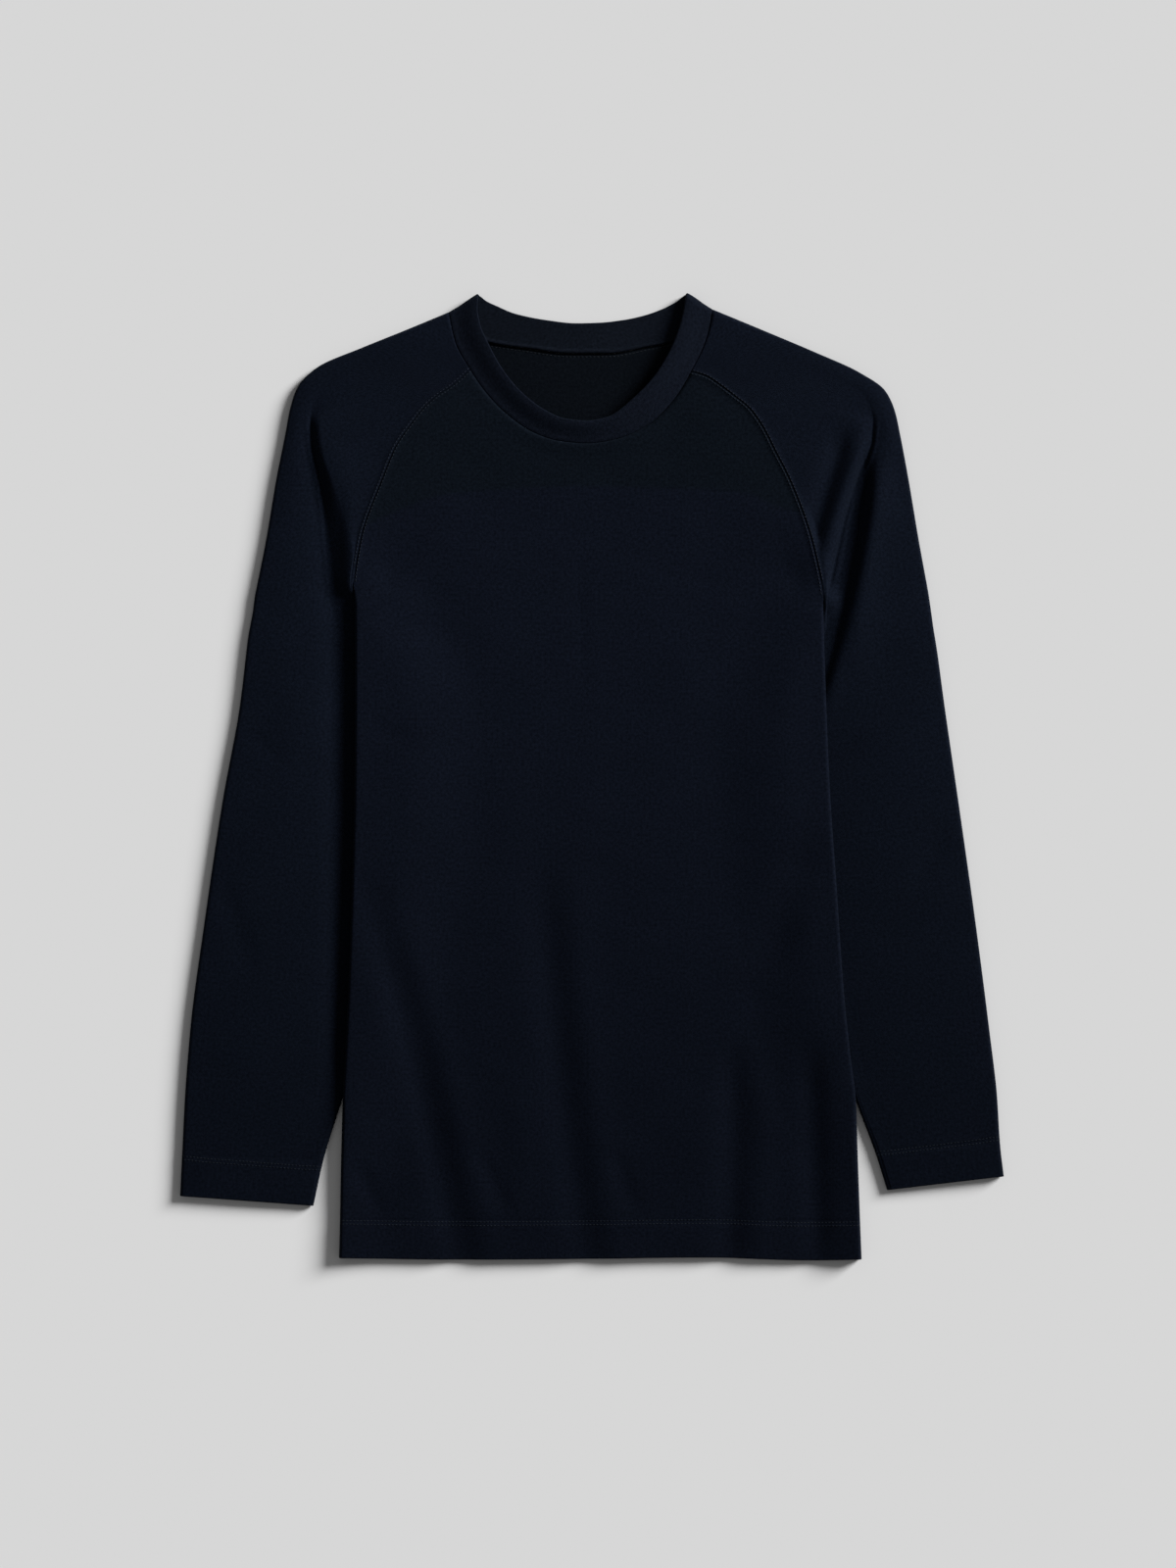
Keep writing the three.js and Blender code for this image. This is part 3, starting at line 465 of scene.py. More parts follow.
class Lay:
    """How the top lies: the curves and levels that all pieces are worked out from."""

    def __init__(self) -> None:
        """Makes the curves through the tables."""
        numbers = np.arange(NECK + 1)
        self.sleeves = {side: curves(SLEEVE_COLUMNS, SLEEVE_ROWS[side.value], numbers) for side in Side}
        self.body = curves(BODY_COLUMNS, BODY_ROWS, np.arange(BODY_TOP + 1))
        self.hem_wave = Curve(*np.array(HEM_WAVE).T)
        tables = {Layer.FRONT: NECK_FRONT, Layer.BACK: NECK_BACK}
        self.necks = {layer: NeckHalf(rows, layer) for layer, rows in tables.items()}
        self.tucked = {}
        for side in Side:
            rows = np.array(SLEEVE_ROWS[side.value])[: UNDERARM + 1]
            inner_x, inner_y = (rows[:, SLEEVE_COLUMNS.index(name)] for name in ("inner_x", "inner_y"))
            self.tucked[side] = (Curve(inner_y, inner_x), inner_y[0], inner_y[-1])

    def under_body(self, x: Array, y: Array, slope: float = BACK_SLOPE) -> Array:
        """Height of what lies under the body: it climbs smoothly over the edge of each tucked sleeve.

        Args:
            x: places in the plan.
            y: places in the plan.
            slope: how wide the climb is, in millimetres.

        Returns:
            LIFT times how far the place is over the sleeve, faded out above the underarm.
        """
        height = np.zeros(np.broadcast(x, y).shape)
        for side in Side:
            edge, low, high = self.tucked[side]
            inner = edge(np.clip(y, low, high))
            distance = inner - x if side is Side.LEFT else x - inner
            along = 1 - smooth(high - LIFT_FULL, high + LIFT_START, y)
            height = height + LIFT * along * smooth(-slope, 0, distance)
        return height

    def raglan(self, side: Side, layer: Layer, v: Array, towards: float) -> Array:
        """Places on a raglan seam, moved half the gap towards the sleeve (1) or the body (-1).

        Args:
            side: which sleeve.
            layer: the front or the back seam.
            v: running numbers of the sections.
            towards: 1 or -1.

        Returns:
            Plan places, with the seam's direction turned a quarter as the way out.
        """
        row = self.sleeves[side]
        name = "inner" if layer is Layer.FRONT else "back"
        before, after = np.maximum(v - NEARBY, UNDERARM), np.minimum(v + NEARBY, NECK)
        run = unit(plan_of(row, name, after) - plan_of(row, name, before))
        turn = 1 if side is Side.LEFT else -1
        out = np.stack([-run[..., 1] * turn, run[..., 0] * turn], axis=-1)
        return plan_of(row, name, v) + out * towards * HALF_GAP


class NeckHalf:
    """The front or back half of the neckband, over the running distance along its seam."""

    def __init__(self, rows: tuple, layer: Layer) -> None:
        """Makes the curves.

        Args:
            rows: the table of the half.
            layer: the front or the back.
        """
        self.knots = run_along(np.array(rows)[:, :2])
        self.length = self.knots[-1]
        self.up = layer.value
        self.curves = curves(NECK_COLUMNS, rows, self.knots)

    def seam(self, s: Array) -> Array:
        """Plan places on the seam."""
        return plan_of(self.curves, "seam", s)

    def edge(self, s: Array) -> Array:
        """Plan places on the free edge."""
        return plan_of(self.curves, "edge", s)

    def directions(self, s: Array, turn: Array) -> tuple[Array, Array]:
        """The band's directions: along from the seam to the free edge, and the normal of its outer face.

        Args:
            s: running distances along the seam.
            turn: the angle around a shoulder fold, from 0 at the fold to a right angle on the flat.

        Returns:
            along and normal, each of length 1.
        """
        along = unit(self.edge(s) - self.seam(s))
        side = np.where(self.seam(s)[..., 0] < 0, 1.0, -1.0)[..., None]
        out = np.stack([-along[..., 1], along[..., 0]], axis=-1) * side
        turn = np.asarray(turn)[..., None]
        return upright(along), upright(out) * np.cos(turn) + UP * self.up * np.sin(turn)

    def place(self, s: Array, turn: Array, w: Array) -> Array:
        """Places on the outer face.

        Args:
            s: running distances along the seam.
            turn: the angle around a shoulder fold.
            w: shares of the way from the seam to the free edge.

        Returns:
            Places in space, flat on the surface behind the neck and at the table's heights in front of it.
        """
        plan = lerp(self.seam(s), self.edge(s), w[..., None])
        level = np.zeros(w.shape)
        if self.up > 0:
            level = lerp(self.curves["seam_z"](s), self.curves["edge_z"](s), w)
        folded = ARM_FOLD + self.up * ARM_FOLD * np.sin(turn)
        z = np.where(turn < RIGHT_ANGLE - TINY, folded, level)
        return np.concatenate([plan, z[..., None]], axis=-1)


def normals_of(grid: Array, closed: Array, ring: bool, facing: float) -> Array:
    """Normals of a grid of places: the cross product of the ways across and along it.

    Args:
        grid: places, by row and column.
        closed: for each row, whether its first and last place meet.
        ring: whether the last row is followed by the first.
        facing: 1, or -1 where rows and columns run the other way round.

    Returns:
        Normals of length 1 in the grid's shape.
    """
    following = np.concatenate([grid[:, 1:], grid[:, -1:]], axis=1)
    leading = np.concatenate([grid[:, :1], grid[:, :-1]], axis=1)
    mask = closed[:, None, None]
    wrapped_next = np.concatenate([grid[:, 1:], grid[:, 1:2]], axis=1)
    wrapped_last = np.concatenate([grid[:, -2:-1], grid[:, :-1]], axis=1)
    across = np.where(mask, wrapped_next - wrapped_last, following - leading)
    if ring:
        along = np.roll(grid, -1, axis=0) - np.roll(grid, 1, axis=0)
    else:
        along = np.concatenate([grid[1:], grid[-1:]]) - np.concatenate([grid[:1], grid[:-1]])
    return unit(np.cross(across, along)) * facing


@dataclass
class Wall:
    """A closed shell of cloth: a grid of places on its outer face, and a thickness at each."""

    grid: Array
    thick: Array
    cloth: Array
    closed: Array | None = None
    ring: bool = False
    facing: float = 1.0
    masks: dict[str, Array] = field(default_factory=dict)
    normals: Array | None = None

    def __post_init__(self) -> None:
        """Fills in the rows that meet and the normals."""
        if self.closed is None:
            self.closed = np.zeros(len(self.grid), bool)
        if self.normals is None:
            self.normals = normals_of(self.grid, self.closed, self.ring, self.facing)

    def quads(self) -> Array:
        """Corners of the outer and inner faces and of the rims, as numbers of the doubled grid.

        Returns:
            An array with four corners a row.
        """
        rows, columns = self.grid.shape[:2]
        shift = rows * columns
        spans = rows if self.ring else rows - 1
        i, j = np.meshgrid(np.arange(spans), np.arange(columns - 1), indexing="ij")
        after = (i + 1) % rows
        a, b, c, d = (n.ravel() for n in (
            i * columns + j, i * columns + j + 1, after * columns + j + 1, after * columns + j))
        parts = [np.stack([a, b, c, d], axis=1), np.stack([a, d, c, b], axis=1) + shift]
        k = np.arange(spans)
        k = k[~(self.closed[k] & self.closed[(k + 1) % rows])]
        a, d = k * columns, ((k + 1) % rows) * columns
        b, c = a + columns - 1, d + columns - 1
        parts.append(np.stack([a, d, d + shift, a + shift], axis=1))
        parts.append(np.stack([c, b, b + shift, c + shift], axis=1))
        if not self.ring:
            k = np.arange(columns - 1)
            last = (rows - 1) * columns
            parts.append(np.stack([k + 1, k, k + shift, k + 1 + shift], axis=1))
            parts.append(np.stack([last + k, last + k + 1, last + k + 1 + shift, last + k + shift], axis=1))
        return np.concatenate(parts)

    def mesh(self, name: str) -> bpy.types.Object:
        """Makes the mesh object, with its UV map cloth in metres and its masks as attributes.

        Args:
            name: the piece's name.

        Returns:
            The object, linked to the scene.
        """
        rows, columns = self.grid.shape[:2]
        inner = self.grid - self.normals * self.thick[..., None]
        places = np.concatenate([self.grid.reshape(-1, 3), inner.reshape(-1, 3)]) * MM
        corners = self.quads()
        alias = np.arange(len(places)).reshape(2, rows, columns)
        alias[:, self.closed, -1] = alias[:, self.closed, 0]
        alias = alias.ravel()
        used, slot = np.unique(alias, return_inverse=True)
        faces = slot[corners]
        first, second, third, fourth = (places[used][faces[:, n]] for n in range(4))
        volume = np.sum(first * np.cross(second, third)) + np.sum(first * np.cross(third, fourth))
        if volume < 0:
            faces, corners = faces[:, ::-1], corners[:, ::-1]
        mesh = bpy.data.meshes.new(name)
        mesh.from_pydata(places[used], [], faces)
        mesh.polygons.foreach_set("use_smooth", np.ones(len(faces), bool))
        flat_uv = np.tile(self.cloth.reshape(-1, 2) * MM, (2, 1))
        mesh.uv_layers.new(name="cloth").data.foreach_set("uv", flat_uv[corners.ravel()].ravel())
        for mask, values in self.masks.items():
            both = np.tile(values.ravel(), 2) if values.shape == self.thick.shape else values.ravel()
            attribute = mesh.attributes.new(mask, "FLOAT", "POINT")
            attribute.data.foreach_set("value", both[used].astype(np.float32))
        mesh.validate()
        mesh.update()
        piece = bpy.data.objects.new(name, mesh)
        bpy.context.scene.collection.objects.link(piece)
        return piece


def ripple(x: Array, y: Array, seed: int, height: float) -> Array:
    """Gentle unevenness of cloth that lies loose: a sum of eight seeded plane waves, 25 to 90 mm long.

    Args:
        x: places in the plan, in millimetres.
        y: places in the plan.
        seed: chooses the waves.
        height: the largest height of the sum, in millimetres.

    Returns:
        Heights above and below 0.
    """
    random = np.random.default_rng(seed)
    total = np.zeros(x.shape)
    for _ in range(RIPPLE_WAVES):
        angle, phase = random.uniform(0, 2 * math.pi, 2)
        length = random.uniform(*RIPPLE_LENGTHS)
        wave = 2 * math.pi * (x * math.cos(angle) + y * math.sin(angle)) / length
        total += np.sin(wave + phase)
    return height * total / RIPPLE_WAVES


def edge_drop(distance: Array, radius: float) -> Array:
    """How far a rounded edge drops within radius of it: radius - sqrt(radius^2 - (radius - distance)^2)."""
    inside = np.clip(radius - distance, 0, radius)
    return radius - np.sqrt(np.maximum(radius ** 2 - inside ** 2, 0))


@dataclass(frozen=True)
class SeamRelief:
    """The relief beside a flat-locked seam: a valley at the seam and a low ridge under its stitches."""

    valley: float = 0.3
    valley_wide: float = 0.45
    ridge: float = 0.5
    ridge_at: float = 1.4
    ridge_wide: float = 1.2

    def rise(self, distance: Array) -> Array:
        """Height at a distance from the seam: the ridge's bell less the valley's bell."""
        ridge = self.ridge * np.exp(-(((distance - self.ridge_at) / self.ridge_wide) ** 2))
        return ridge - self.valley * np.exp(-((distance / self.valley_wide) ** 2))


@dataclass
class Panel:
    """The front or the back: one panel from the hem to the neck seam, between the sides and raglan seams.

    The place at a share of the way across is on the straight line between the two edges, bent towards the
    neck seam by 1 - (1 - rise)^2 above the underarm. Its height is the side's level, changed by a smooth bell
    to the middle's, plus the lift over the sleeves, less the creases.
    """

    lay: Lay
    layer: Layer
    creases: tuple[Crease, ...]
    seed: int
    row_step: float = 2.6
    columns: int = 150
    fold_steps: int = 6
    ripple_height: float = 0.3
    ripple_edge: float = 14.0
    usual_width: float = 360.0
    stitch_valley: float = 0.35
    stitch_wide: float = 1.4
    edge_reach: float = 26.0
    opening_rows: float = 0.9
    side_top: float = 8.4
    side_rise: Span = (125.0, 205.0)
    gap_span: Span = (0.9, 1.0)
    neck_valley: float = 0.5
    neck_valley_wide: float = 1.3
    seam: SeamRelief = field(default_factory=SeamRelief)

    def __post_init__(self) -> None:
        """Sets up the neck seam's ends."""
        self.half = self.lay.necks[self.layer]
        rows = FRONT_SEAM_ROWS if self.layer is Layer.FRONT else BACK_SEAM_ROWS[::-1]
        self.ends = tuple(self.half.knots[row] for row in rows)
        self.up = self.layer.value
        self.slope = FRONT_SLOPE if self.layer is Layer.FRONT else BACK_SLOPE

    def neck_run(self, share: Array) -> Array:
        """Running distance along the neck seam at a share of the way across."""
        return lerp(self.ends[0], self.ends[1], share)

    def shares(self, width: Array, start: float) -> Array:
        """Shares of the way across: close together at both edges and even between them.

        Args:
            width: the width of each section, one a row.
            start: how far the close ones reach from an edge, in millimetres.

        Returns:
            Shares by row and column.
        """
        turn = np.linspace(0, RIGHT_ANGLE, self.fold_steps + 1)
        close = start * (1 - np.cos(turn))[None, :] / width
        even = np.linspace(0, 1, self.columns + 1)[1:-1]
        reach = start / width
        return np.concatenate([close, lerp(reach, 1 - reach, even[None, :]), 1 - close[:, ::-1]], axis=1)

    def levels(self, x: Array, y: Array, share: Array, middle: Array) -> Array:
        """Height of the outer face before seams and edges.

        Args:
            x: places in the plan.
            y: places in the plan.
            share: shares of the way across.
            middle: the height of the panel's middle.

        Returns:
            The heights.
        """
        under = self.lay.under_body(x, y, self.slope)
        if self.layer is Layer.BACK:
            lifted = np.maximum(-sink_of(self.creases, x, y), 0)
            return under + lifted * (1 - under / LIFT)
        bell = smooth(0, SIDE_SHARE, share) * smooth(0, SIDE_SHARE, 1 - share)
        loose = smooth(0, self.ripple_edge, np.minimum(share, 1 - share) * self.usual_width)
        uneven = ripple(x, y, self.seed, self.ripple_height) * loose
        side = lerp(2 * SIDE_FOLD, self.side_top, smooth(*self.side_rise, y))
        return lerp(side, middle, bell) + under - sink_of(self.creases, x, y) + uneven

    def body_rows(self) -> tuple[Array, Array, Array]:
        """Sections from the hem to the underarm.

        Returns:
            Places, thicknesses and cloth coordinates.
        """
        body = self.lay.body
        v = even_numbers(body, "left", 0, BODY_TOP, self.row_step)
        v = with_hem_rows(v[:-1], HEM_LINE)[:, None]
        left, right = plan_of(body, "left", v), plan_of(body, "right", v)
        width = np.linalg.norm(right - left, axis=2)
        share = self.shares(width, SIDE_FOLD)
        plan = lerp(left, right, share[..., None])
        plan[..., 1] -= np.maximum(0, 1 - v / HEM_LINE) * self.lay.hem_wave(share)
        x, y = plan[..., 0], plan[..., 1]
        reach = np.minimum(share, 1 - share) * width
        hem = 1 - smooth(HEM_LINE, HEM_LINE + HEM_END, v)
        hem_rise = HEM_RISE * hem * (self.up > 0)
        z = self.levels(x, y, share, body["middle"](v)) + hem_rise
        bend = np.sqrt(np.maximum(0, 1 - (1 - np.clip(reach / SIDE_FOLD, 0, 1)) ** 2))
        under = self.lay.under_body(x, y, self.slope)
        folded = lerp(self.lay.under_body(x, y), under, bend) + SIDE_FOLD * (1 + self.up * bend)
        folded = folded + self.up * HALF_GAP * (bend < TINY) + hem_rise * bend
        z = np.where(reach < SIDE_FOLD, folded, z)
        opening = smooth(BODY_TOP - self.opening_rows, BODY_TOP, v) * (1 - smooth(0, self.edge_reach, reach))
        z = lerp(z, self.raglan_level(np.full_like(v, UNDERARM), share, under), opening)
        hem_length = body["left_y"](HEM_LINE) - body["left_y"](0)
        from_hem = v / HEM_LINE * hem_length
        line = np.exp(-(((from_hem - hem_length) / self.stitch_wide) ** 2))
        drop = edge_drop(from_hem, EDGE_ROUND) * (self.up > 0)
        z = z - self.stitch_valley * line * (self.up > 0) - drop
        thick = np.broadcast_to(CLOTH + HEM_EXTRA * hem - drop, z.shape)
        return np.stack([x, y, z], axis=-1), thick, np.stack([x, y], axis=-1)

    def raglan_level(self, v: Array, share: Array, under: Array) -> Array:
        """Level of the raglan edges, run across the panel.

        Args:
            v: running numbers of the sections.
            share: shares of the way across.
            under: heights of what lies under the panel.

        Returns:
            The seams' own level on the front, and what lies under it on the back.
        """
        if self.layer is Layer.BACK:
            return under
        left, right = (self.lay.sleeves[side]["seam"](v) for side in Side)
        return lerp(left, right, share)

    def raglan_rows(self) -> tuple[Array, Array, Array]:
        """Sections from the underarm to the neck seam.

        Returns:
            Places, thicknesses and cloth coordinates.
        """
        row = self.lay.sleeves[Side.LEFT]
        v = even_numbers(row, "inner", UNDERARM, NECK, self.row_step)[:, None]
        left = self.lay.raglan(Side.LEFT, self.layer, v, -1)
        right = self.lay.raglan(Side.RIGHT, self.layer, v, -1)
        width = np.linalg.norm(right - left, axis=2)
        share = self.shares(width, SEAM_REACH)
        rise = (v - UNDERARM) / (NECK - UNDERARM)
        run = self.neck_run(share)
        top = self.half.seam(run)
        ends = self.half.seam(np.array(self.ends))
        flat = lerp(left, right, share[..., None])
        plan = flat + (top - lerp(ends[0], ends[1], share[..., None])) * (1 - (1 - rise) ** 2)[..., None]
        along, _ = self.half.directions(run, RIGHT_ANGLE)
        plan = plan - along[..., :2] * (HALF_GAP * smooth(*self.gap_span, rise))[..., None]
        x, y = plan[..., 0], plan[..., 1]
        middle = lerp(self.lay.body["middle"](BODY_TOP), CHEST_MIDDLE, rise)
        reach = np.minimum(share, 1 - share) * width
        edge = self.raglan_level(v, share, self.lay.under_body(x, y, self.slope))
        z = lerp(self.levels(x, y, share, middle), edge, 1 - smooth(0, self.edge_reach, reach))
        if self.layer is Layer.FRONT:
            neck = self.half.curves["seam_z"](run)
            z = lerp(z, neck, smooth(NECK_BLEND, 1, rise))
            z = z + self.seam.rise(reach) * smooth(UNDERARM, UNDERARM + SEAM_FADE, v)
            to_neck = np.linalg.norm(plan - top, axis=-1)
            z = z - self.neck_valley * np.exp(-((to_neck / self.neck_valley_wide) ** 2))
        return np.stack([x, y, z], axis=-1), np.full(z.shape, CLOTH), np.stack([x, y], axis=-1)

    def build(self, name: str) -> bpy.types.Object:
        """Makes the panel and keeps its wall for the stitching.

        Args:
            name: the piece's name.

        Returns:
            The object.
        """
        low, low_thick, low_cloth = self.body_rows()
        high, high_thick, high_cloth = self.raglan_rows()
        grid = np.concatenate([low, high])
        self.body_count = len(low)
        if self.layer is Layer.BACK:
            grid[..., 2] = np.maximum(grid[..., 2], 0)
        thick = np.concatenate([low_thick, high_thick])
        self.wall = Wall(grid, thick, np.concatenate([low_cloth, high_cloth]), facing=self.up)
        self.wall.masks = masks_of(grid, zone_mask(grid[..., 0], grid[..., 1]))
        return self.wall.mesh(name)


# The knit changes a little above this line, which runs across the chest from seam to seam
ZONE_LINE = ((-190, 172), (-158, 190), (-133, 201), (-112, 208), (-75, 212), (0, 214.5), (70, 213),
             (113, 210), (135, 200), (153, 195), (190, 178))
ZONE_EDGE = 2.0

# Painted shade: the colour is darkened from the shoulders towards the hem and the cuffs, standing in for light
# that falls off down the top
FALLOFF_SHADE_LOW, FALLOFF_SHADE_HIGH = -330.0, 190.0
FALLOFF_SHADE_HEM = 0.67


def masks_of(grid: Array, zone: Array | float = 0.0) -> dict[str, Array]:
    """Masks of a piece: zone as given, inside 1 on its inner face, and painted shade, darker lower on the top.

    Args:
        grid: places on the outer face.
        zone: 1 in the yoke's knit.

    Returns:
        The masks by name. inside has a value for every vertex of both faces.
    """
    count = grid.shape[0] * grid.shape[1]
    # Painted shade: 1 high on the top, falling towards the hem in place of light that falls off there
    falloff_shade = lerp(FALLOFF_SHADE_HEM, 1.0, smooth(FALLOFF_SHADE_LOW, FALLOFF_SHADE_HIGH, grid[..., 1]))
    inside = np.concatenate([np.zeros(count), np.ones(count)])
    return {"zone": np.broadcast_to(zone, grid.shape[:2]), "falloff_shade": falloff_shade, "inside": inside}


def zone_mask(x: Array, y: Array) -> Array:
    """1 above the line across the chest and 0 below it, with a soft edge of ZONE_EDGE."""
    line = Curve(*np.array(ZONE_LINE).T)
    return smooth(-ZONE_EDGE, ZONE_EDGE, y - line(np.clip(x, ZONE_LINE[0][0], ZONE_LINE[-1][0])))


@dataclass
class Sleeve:
    """A raglan sleeve: a flattened tube up to the underarm, and an upper and a lower layer above it.

    A section runs from the inner edge over the upper layer to the outer fold, and back below. The shoulder
    crease is a quarter sine: its level is dip + (shoulder - dip) * sin(share of a right angle). It is as wide
    as crease_width, or low_width near the underarm, and spreads to flat_crease where the shoulder stands
    little above the dip. Spans named after the underarm are running numbers of the sections.
    """

    lay: Lay
    side: Side
    creases: tuple[Crease, ...]
    seed: int
    row_step: float = 2.8
    edge_steps: int = 7
    shoulder_steps: int = 36
    crease_steps: int = 14
    arm_steps: int = 44
    fold_steps: int = 8
    under_steps: int = 36
    crease_width: float = 11.0
    low_width: float = 11.0
    low_span: Span = (UNDERARM + 0.7, UNDERARM + 2.5)
    flat_crease: float = 60.0
    flat_drop: Span = (0.8, 2.6)
    folded_drop: Span = (1.5, 3.5)
    crease_most: float = 0.8
    crease_extra: float = 1.0
    crease_span: Span = (UNDERARM - 3, UNDERARM)
    shoulder_extra: float = 0.0
    shoulder_span: Span = (UNDERARM - 0.3, UNDERARM + 0.4)
    open_span: Span = (UNDERARM, UNDERARM + 0.4)
    lip: float = 0.7
    lip_at: float = 2.6
    lip_wide: float = 1.9
    ripple_height: float = 0.2
    ripple_edge: float = 14.0
    ripple_fold: float = 16.0
    sink_edge: Span = (0.5, 7.0)
    sink_fold: float = 14.0
    clearance: float = 0.15
    stitch_valley: float = 0.35
    stitch_wide: float = 1.4
    seam: SeamRelief = field(default_factory=SeamRelief)

    def __post_init__(self) -> None:
        """Lays out the sections: the tube's up to the underarm, and from there the open ones."""
        self.row = row = self.lay.sleeves[self.side]
        low = with_hem_rows(even_numbers(row, "inner", 0, UNDERARM, self.row_step), CUFF_LINE)
        high = even_numbers(row, "outer", UNDERARM, NECK, self.row_step)[1:]
        self.open_from = len(low)
        self.v = v = np.concatenate([low, high])[:, None]
        self.closed = closed = v <= UNDERARM
        self.outer, inner = plan_of(row, "outer", v), plan_of(row, "inner", v)
        self.upper = np.where(closed[..., None], inner, self.lay.raglan(self.side, Layer.FRONT, v, 1))
        self.lower = np.where(closed[..., None], inner, self.lay.raglan(self.side, Layer.BACK, v, 1))
        self.reach_up = np.linalg.norm(self.upper - self.outer, axis=2)
        self.reach_low = np.linalg.norm(self.lower - self.outer, axis=2)
        self.seam_z = row["seam"](v)
        self.fold = np.where(closed, row["fold"](v), 0.0)
        self.start = np.where(closed, self.fold, SEAM_REACH)
        rested = self.lay.under_body(self.lower[..., 0], self.lower[..., 1])
        opened = lerp(self.seam_z - 2 * row["fold"](UNDERARM), rested, smooth(*self.open_span, v))
        self.low_end = np.where(closed, self.seam_z - 2 * self.fold, opened)
        self.hem = 1 - smooth(CUFF_LINE, CUFF_LINE + HEM_END, v)

    def inner_edge(self) -> tuple[Array, Array, Array]:
        """The inner edge: quarter circles that close the tube, or a flat strip beside an open seam.

        Returns:
            Distances from the edge, heights of the upper layer and heights of the lower one.
        """
        quarter = np.linspace(0, RIGHT_ANGLE, self.edge_steps)[None, :]
        inwards = np.where(self.closed, self.fold * (1 - np.cos(quarter)), SEAM_REACH * quarter / RIGHT_ANGLE)
        above = self.seam_z - np.where(self.closed, self.fold * (1 - np.sin(quarter)), 0)
        below = np.where(self.closed, self.seam_z - self.fold * (1 + np.sin(quarter)), self.low_end)
        return inwards, above, below

    def top_side(self) -> tuple[Array, Array]:
        """The upper layer between its edge and its outer fold: the shoulder, its crease and the arm.

        Returns:
            Distances from the outer fold, and heights.
        """
        dip, shoulder = self.row["dip"](self.v), self.row["shoulder"](self.v)
        end = self.reach_up - self.start
        crease = self.row["crease"](self.v) * self.reach_up
        sharp = lerp(self.crease_width, self.low_width, 1 - smooth(*self.low_span, self.v))
        spread = lerp(self.flat_crease, sharp, smooth(*self.flat_drop, shoulder - dip))
        width = np.minimum(spread, (end - crease) * self.crease_most)
        folded = smooth(*self.folded_drop, shoulder - dip)
        shoulder = shoulder + self.shoulder_extra * folded * smooth(*self.shoulder_span, self.v)
        deep = dip - self.crease_extra * folded * smooth(*self.crease_span, self.v)

        t = np.linspace(0, 1, self.shoulder_steps + 1)[None, 1:-1]
        shoulder_s = lerp(end, crease + width, t)
        shoulder_z = lerp(self.seam_z, shoulder, smooth(0, 1, t))
        t = np.linspace(1, 0, self.crease_steps)[None, :]
        crease_s = crease + width * t
        crease_z = deep + (shoulder - deep) * np.sin(t * RIGHT_ANGLE)
        t = np.linspace(1, 0, self.arm_steps + 1)[None, 1:-1]
        arm_s = lerp(ARM_FOLD, crease, t)
        crown = self.row["crown"](self.v) - (2 * ARM_FOLD + dip) / 2
        arm_z = lerp(2 * ARM_FOLD, deep, t) + 4 * t * (1 - t) * (crown + (dip - deep) / 2)
        lip = np.exp(-(((crease - arm_s - self.lip_at) / self.lip_wide) ** 2))
        arm_z = arm_z + self.lip * lip * folded
        return np.hstack([shoulder_s, crease_s, arm_s]), np.hstack([shoulder_z, crease_z, arm_z])

    def section(self) -> tuple[Array, Array, Array]:
        """All sections without the small creases, the seam's relief and the cuff.

        Returns:
            Distances from the outer fold, heights, and each column's angle around the outer fold.
        """
        inwards, above, below = self.inner_edge()
        top_s, top_z = self.top_side()
        turn = np.linspace(RIGHT_ANGLE, 0, self.fold_steps)
        turns = np.concatenate([turn, turn[::-1][1:]])
        half = np.where(np.arange(len(turns)) < self.fold_steps, 1, -1)
        fold_s = np.tile(ARM_FOLD * (1 - np.cos(turns)), (len(self.v), 1))
        fold_z = np.tile(ARM_FOLD * (1 + half * np.sin(turns)), (len(self.v), 1))
        t = np.linspace(0, 1, self.under_steps + 1)[None, 1:-1]
        under_s = lerp(ARM_FOLD, self.reach_low - self.start, t)
        under_z = self.low_end * smooth(UNDERARM_RISE, 1, t)
        s = np.hstack([self.reach_up - inwards, top_s, fold_s, under_s, (self.reach_low - inwards)[:, ::-1]])
        z = np.hstack([above, top_z, fold_z, under_z, below[:, ::-1]])
        self.fold_column = inwards.shape[1] + top_s.shape[1]
        self.layer_up = np.arange(s.shape[1]) < self.fold_column + self.fold_steps
        angles = np.full(s.shape[1], RIGHT_ANGLE)
        angles[self.fold_column:self.fold_column + len(turns)] = turns
        return s, z, angles

    def finished(self, plan: Array, s: Array, z: Array) -> Array:
        """Heights with the creases, the raglan seam's relief and the cuff.

        Args:
            plan: places in the plan.
            s: distances from the outer fold.
            z: heights of the plain sections.

        Returns:
            The heights.
        """
        x, y = plan[..., 0], plan[..., 1]
        from_edge = np.where(self.layer_up, self.reach_up, self.reach_low) - s
        top = self.layer_up & (s > ARM_FOLD)
        away = smooth(0, self.ripple_edge, from_edge) * smooth(ARM_FOLD, self.ripple_fold, s)
        sink = sink_of(self.creases, x, y) * smooth(*self.sink_edge, from_edge)
        shaped = z - sink * smooth(ARM_FOLD, self.sink_fold, s)
        shaped = shaped + ripple(x, y, self.seed, self.ripple_height) * away
        under_share = (s - ARM_FOLD) / (self.reach_low - self.start - ARM_FOLD)
        under = self.low_end * smooth(UNDERARM_RISE, 1, under_share)
        shaped = np.maximum(shaped, 2 * CLOTH + self.clearance + under)
        seam_rise = self.seam.rise(from_edge) * smooth(UNDERARM, UNDERARM + SEAM_FADE, self.v)
        z = np.where(top, shaped, z) + np.where(self.layer_up, seam_rise, 0)
        cuff = math.dist(plan_of(self.row, "outer", 0), plan_of(self.row, "outer", CUFF_LINE))
        from_cuff = self.v / CUFF_LINE * cuff
        line = np.exp(-(((from_cuff - cuff) / self.stitch_wide) ** 2))
        drop = edge_drop(from_cuff, EDGE_ROUND)
        return z + np.where(top, (HEM_RISE * self.hem - self.stitch_valley * line - drop) * away, 0)

